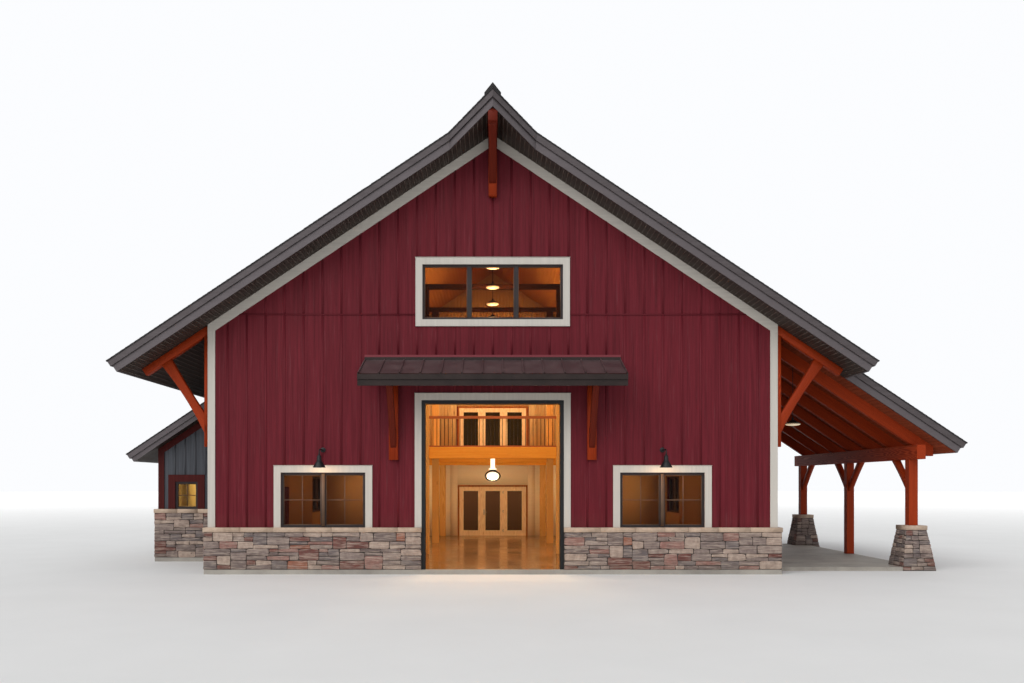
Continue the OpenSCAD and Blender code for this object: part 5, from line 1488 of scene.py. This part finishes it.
def make_eave_brackets():
    """At the four corners: a flat post, a rafter under the eave's soffit and a waisted brace."""
    rafter_deep, width, reach = 0.20, 0.2, 1.73 - trim_t
    post_deep, post_in, below_soffit = 0.10, 0.006, 0.12
    brace_deep, brace_in, brace_foot_z, brace_reach = 0.30, 0.03, 3.62, 1.21
    peg_drop, gap = 0.13, 0.0004
    cos, sin = math.cos(pitch), math.sin(pitch)
    start = half_w + trim_t

    def soffit(r):
        """Height just under the soffit, r out from the trim."""
        return under(start + r) - gap

    post = (post_deep, eave_foot_z), (post_deep, soffit(post_deep) - below_soffit)
    rafter = [np.array([r, soffit(r)]) - np.array([sin, cos]) * rafter_deep for r in (0.0, reach)]
    brace = (post_deep, brace_foot_z), (brace_reach, soffit(brace_reach) - rafter_deep / cos)
    peg_places = [(post_deep / 2, 3.90), (post_deep / 2, 4.05)]
    peg_places += [(r, soffit(r) - peg_drop) for r in (1.05, 0.93)]
    shapes = []
    for sx in (-1, 1):
        for sy in (-1, 1):
            place = (sx * start, sy * (half_d - width / 2)), (sx, 0)
            shapes.append(straight_timber(*post, post_deep, width - post_in, *place))
            shapes.append(straight_timber(*rafter, rafter_deep, width, *place))
            shapes.append(curved_brace(*brace, brace_deep, width - brace_in, *place, lower=0.032,
                                       upper=0.014))
            shapes.append(pegs(peg_places, width, *place))
    made = piece("eave_timbers", joined(*shapes), stained_uv)
    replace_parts(made, "eave_brackets")


def make_knee_braces():
    """Knee braces between the porch's posts and its beam, none of them past the end posts."""
    leg, deep, wide, peg_out = 0.9, 0.215, 0.15, 0.06
    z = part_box("porch_beam")[0].z
    brace = (post_half, z - leg), (post_half + leg, z)
    peg_places = [(peg_out, z - 0.72), (peg_out, z - 0.6)]
    shapes = []
    for y, ways in ((pier_y[0], (1,)), (sum(pier_y) / 2, (-1, 1)), (pier_y[1], (-1,))):
        for way in ways:
            place = (porch_x, y), (0, way)
            shapes.append(curved_brace(*brace, deep, wide, *place))
            shapes.append(pegs(peg_places, 2 * post_half, *place))
    made = piece("knee_braces", joined(*shapes), stained_uv)
    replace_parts(made, "porch_braces")


def soften(name, width, steps=2):
    """Planed corners on a CAD timber: its doubled points are joined and its sharp edges rounded."""
    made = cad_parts[name]
    weld = made.modifiers.new("weld", "WELD")
    weld.merge_threshold = 0.0002
    edge = made.modifiers.new("planed_corners", "BEVEL")
    edge.width, edge.segments = width, steps
    edge.limit_method, edge.angle_limit = "ANGLE", math.radians(35)


# Lamps


def tube_along(path, radius, around=12):
    """A round tube along points that lie in one plane with X fixed: a circle square to the path."""
    path = np.asarray(path, float)
    way = np.gradient(path, axis=0)
    way /= np.linalg.norm(way, axis=1, keepdims=True)
    side = np.array([1.0, 0, 0])
    up = np.cross(way, side)
    angle = np.arange(around) * 2 * math.pi / around
    ring = np.cos(angle)[None, :, None] * side + np.sin(angle)[None, :, None] * up[:, None]
    return tubes((path[:, None] + radius * ring)[None])


def shade_profile(rim, neck, low, high, power, thick=0.003, steps=14):
    """A bell from neck to rim: radius neck + (rim - neck) s ** power, s running down from 0 to 1,
    and back up inside, thick further in and, but for the rim, thick lower."""
    s = np.linspace(0, 1, steps)
    radius = neck + (rim - neck) * s ** power
    z = high + (low - high) * s
    axis = 0.001
    lower = np.where(s == 1, 0, thick)
    outer = [(axis, high), *zip(radius, z)]
    inner = [*zip((radius - thick)[::-1], (z - lower)[::-1]), (axis, high - thick)]
    return outer + inner


def ball(radius, tall, centre, steps=14, turns=24):
    """An ellipsoid as a lathe: (radius cos t, tall sin t), t running from one pole to the other."""
    t = np.linspace(-math.pi / 2, math.pi / 2, steps)[1:-1]
    return lathe(np.stack([radius * np.cos(t), tall * np.sin(t)], -1), centre, turns)


def make_barn_lights():
    """Four gooseneck lamps over the windows at the ends of the barn: a round plate, a bent arm, a
    bell shade with a collar, and a lit bulb in it."""
    rose, reach, bend, arm_radius, around, bends = 0.066, 0.5, 0.08, 0.016, 24, 9
    rim_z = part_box("barn_lights")[0].z
    plate_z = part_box("barn_lights")[1].z - rose
    # The plate's rings: how much narrower than the rose, and y
    plate = [(0.0, 0.004), (0.0, -0.018), (0.010, -0.025)]
    collar = [(0.001, 0.160), (0.062, 0.162), (0.062, 0.188), (0.055, 0.200), (0.055, 0.275),
              (0.044, 0.300), (0.024, 0.318), (0.024, 0.345), (0.001, 0.347)]
    bell = shade_profile(0.160, 0.058, 0.0, 0.165, 0.8)
    angle = np.arange(around) * 2 * math.pi / around
    rings = np.array([[np.stack([(rose - d) * np.cos(angle), np.full(around, y),
                                 (rose - d) * np.sin(angle)], -1) for d, y in plate]])
    turn = np.linspace(0, math.pi / 2, bends)
    metal, lit = [], []
    for side in (front, back):
        for u in end_windows:
            shapes = [moved(tubes(rings), lambda p, u=u: p + np.array([u, 0, plate_z]))]
            arc = np.stack([np.full(bends, u), -(reach - bend + bend * np.sin(turn)),
                            plate_z - bend + bend * np.cos(turn)], -1)
            path = [(u, -0.02, plate_z), (u, -0.2, plate_z), *arc, (u, -reach, rim_z + 0.32)]
            shapes.append(tube_along(path, arm_radius))
            centre = (u, -reach, rim_z)
            shapes.append(lathe(collar, centre, 28))
            shapes.append(lathe(bell, centre, 40))
            metal += [on_side(shape, side, half_w) for shape in shapes]
            lit.append(on_side(ball(0.035, 0.05, (u, -reach, rim_z + 0.07)), side, half_w))
    made = piece("gooseneck_lamps", joined(*metal), black, smooth=40)
    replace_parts(made, "barn_lights")
    piece("gooseneck_bulbs", joined(*lit), bulb, smooth=60)


def globe_hoop(centre, wide=0.245, tall=0.165, radius=0.021, steps=48, around=10):
    """A ring round the globe: an upright ellipse (wide cos t, tall sin t), carried round by circles
    whose first direction is the ellipse's normal and whose second one is Y."""
    turn = np.arange(steps + 1) * 2 * math.pi / steps
    hoop = np.stack([wide * np.cos(turn), 0 * turn, tall * np.sin(turn)], -1)
    out = np.stack([tall * np.cos(turn), 0 * turn, wide * np.sin(turn)], -1)
    out /= np.linalg.norm(out, axis=1, keepdims=True)
    angle = np.arange(around)[:, None] * 2 * math.pi / around
    circles = np.cos(angle) * out[:, None] + np.sin(angle) * np.array([0, 1.0, 0])
    return tubes((hoop[:, None] + radius * circles + np.array(centre))[None])


def make_pendants():
    """Dish lamps on stems in the hall and the porch, and a white globe lamp under the loft."""
    metal, lit, dim = [], [], []
    peak = ridge_z - (roof_t - soffit_t) / math.cos(pitch)
    hall = [(0.0, y, hall_lamp_z, peak) for y in lamp_ys]
    porch = [(porch_lamp_x, y, porch_lamp_z, float(under(porch_lamp_x))) for y in porch_lamp_ys]
    dish = shade_profile(0.215, 0.03, 0.0, 0.125, 0.8)
    for x, y, rim, top in hall + porch:
        up = top - rim
        stem = [(0.001, up - 0.004), (0.05, up - 0.006), (0.055, up - 0.03), (0.02, up - 0.045),
                (0.009, up - 0.06), (0.009, 0.20), (0.028, 0.17), (0.028, 0.12), (0.001, 0.115)]
        metal.append(lathe(stem, (x, y, rim), 20))
        metal.append(lathe(dish, (x, y, rim), 44))
        (lit if x == 0.0 else dim).append(ball(0.205, 0.045, (x, y, rim + 0.004), turns=40))
    z, top = globe_z, loft_under
    middle, axis = (0.0, globe_y, globe_z + 0.02), (0.0, globe_y, 0.0)
    rose = [(0.001, top), (0.07, top), (0.072, top - 0.03), (0.03, top - 0.05), (0.001, top - 0.052)]
    hood = [(0.001, z + 0.235), (0.09, z + 0.23), (0.125, z + 0.20), (0.135, z + 0.17),
            (0.001, z + 0.168)]
    neck = [(0.001, z + 0.232), (0.13, z + 0.234), (0.13, z + 0.262), (0.075, z + 0.278),
            (0.072, z + 0.29), (0.072, top - 0.08), (0.001, top - 0.08)]
    metal.append(lathe(rose, axis, 28))
    metal.append(globe_hoop(middle))
    metal.append(lathe(hood, axis, 36))
    lit.append(ball(0.205, 0.130, middle, 22, 44))
    lit.append(lathe(neck, axis, 28))
    made = piece("pendant_metal", joined(*metal), black, smooth=40)
    glow = piece("pendant_glow", joined(*lit), bulb, smooth=60)
    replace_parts(piece("porch_glow", joined(*dim), dim_bulb, smooth=60), "pendant_lights")
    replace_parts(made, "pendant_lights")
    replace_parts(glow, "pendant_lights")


make_battens()
make_wing_battens()
make_stones()
make_pier_stones()
make_caps()
make_roofing()
make_ridge()
make_soffit_ribs()
make_ceilings()
make_linings()
make_floor_boards()
make_sashes()
make_drip_caps()
make_awning_brackets()
make_prow_brackets()
make_eave_brackets()
make_knee_braces()
for name in ("porch_posts", "porch_beam", "porch_rafters", "hall_posts", "hall_beams"):
    soften(name, 0.012)
for name in ("corner_boards", "door_casing", "window_casings", "wing_trim", "patio_casings"):
    soften(name, 0.003, 1)
make_barn_lights()
make_pendants()


# Studio: a pale floor, a white world seen by the camera, soft light from the sky and a low sun

photo_w, photo_h = 1024, 683
eye_column, horizon_row = 492.7, 484.0
focal_pixels = 853.6
eye_distance, eye_height = 22.0, 2.32
warm_light, amber_light = (1.0, 0.80, 0.50), (1.0, 0.62, 0.32)


def make_camera():
    """The photograph's view: level, straight on, with the image shifted so that the horizon and the
    eye's column fall on their pixels."""
    data = bpy.data.cameras.new("camera")
    data.sensor_width = 36.0
    data.lens = focal_pixels / photo_w * data.sensor_width
    data.shift_x = (photo_w / 2 - eye_column) / photo_w
    data.shift_y = (horizon_row - photo_h / 2) / photo_w
    data.clip_end = 500.0
    made = bpy.data.objects.new("camera", data)
    made.location = (0.0, -half_d - eye_distance, eye_height)
    made.rotation_euler = (math.pi / 2, 0.0, 0.0)
    bpy.context.scene.collection.objects.link(made)
    bpy.context.scene.camera = made


def seen(tree):
    """One for the rays that show the background: from the camera, off gloss and through glass."""
    path = add(tree, "ShaderNodeLightPath").outputs
    shown = calc(tree, "MAXIMUM", path["Is Camera Ray"], path["Is Glossy Ray"])
    return calc(tree, "MAXIMUM", shown, path["Is Transmission Ray"])


def make_floor():
    """A pale ground disc wide enough to fill the view, white where it is seen far off."""
    made, tree, shader = new_material("studio_floor")
    fine = noise(tree, place_of(tree), 0.6, 4.0)
    reach = add(tree, "ShaderNodeVectorMath", {0: place_of(tree)}, operation="LENGTH").outputs["Value"]
    far = calc(tree, "MULTIPLY", spread(tree, reach, 22.0, 90.0), seen(tree))
    give(tree, shader, Base_Color=mix(tree, fine, (0.74, 0.74, 0.73, 1), (0.80, 0.80, 0.79, 1)),
         Emission_Color=mix(tree, far, (0, 0, 0, 1), (0.36, 0.36, 0.36, 1)), Emission_Strength=1.0,
         Roughness=0.8)
    around, radius = 96, 260.0
    angle = np.arange(around) * 2 * math.pi / around
    ring = np.stack([np.cos(angle), np.sin(angle), 0 * angle], -1) * radius
    mesh = bpy.data.meshes.new("studio_floor")
    mesh.from_pydata(ring.tolist(), [], [list(range(around))])
    mesh.materials.append(made)
    floor = bpy.data.objects.new("studio_floor", mesh)
    bpy.context.scene.collection.objects.link(floor)


def make_world():
    """Even light from all sides, and white where it is seen past the barn."""
    world = bpy.data.worlds.new("studio")
    bpy.context.scene.world = world
    world.use_nodes = True
    tree = world.node_tree
    tree.nodes.clear()
    soft, white = 0.62, 1.0
    strength = add(tree, "ShaderNodeMix", {"Factor": seen(tree), 2: soft, 3: white},
                   data_type="FLOAT").outputs[0]
    sky = add(tree, "ShaderNodeBackground", {"Color": (0.97, 0.98, 1.0, 1), "Strength": strength})
    add(tree, "ShaderNodeOutputWorld", {"Surface": sky.outputs[0]})


def lamp(name, kind, place, turn, power, colour=(1, 1, 1), **settings):
    """A light that no camera sees. Gloss and glass show only the sun."""
    data = bpy.data.lights.new(name, kind)
    data.energy = power
    data.color = colour
    for key, value in settings.items():
        setattr(data, key, value)
    made = bpy.data.objects.new(name, data)
    made.location = place
    made.rotation_euler = turn
    made.visible_camera = False
    made.visible_glossy = made.visible_transmission = kind == "SUN"
    bpy.context.scene.collection.objects.link(made)


def warm_bulb(name, place, power, colour=warm_light, size=0.1):
    """A small round bulb that lights what is around it."""
    lamp(name, "POINT", place, (0, 0, 0), power, colour, shadow_soft_size=size)


make_camera()
make_floor()
make_world()
sun_turn = [math.radians(angle) for angle in (48, -8, -28)]
lamp("soft_sun", "SUN", (0, 0, 30), sun_turn, 1.5, angle=math.radians(60))
for step, y in enumerate(lamp_ys):
    warm_bulb(f"hall_glow_{step}", (0, y, hall_lamp_z - 0.15), 300)
warm_bulb("globe_glow", (0, globe_y, globe_z - 0.32), 120)
for y, power in ((-5.5, 36), (-1.5, 30), (2.0, 42), (5.5, 58)):
    for side in (-1, 1):
        warm_bulb(f"room_glow_{side}_{y}", (side * 4.6, y, 3.05), power)
warm_bulb("front_glow", (0, -6.2, 5.0), 90)
warm_bulb("aisle_glow", (0, 3.7, 2.9), 90)
warm_bulb("wing_glow", (-8.7, -0.5, 2.6), 90)
for u in end_windows:
    warm_bulb(f"lamp_glow_{u}", (u, -half_d - 0.5, 2.715), 10, amber_light, 0.05)

view = bpy.context.scene.view_settings
view.view_transform = "Standard"
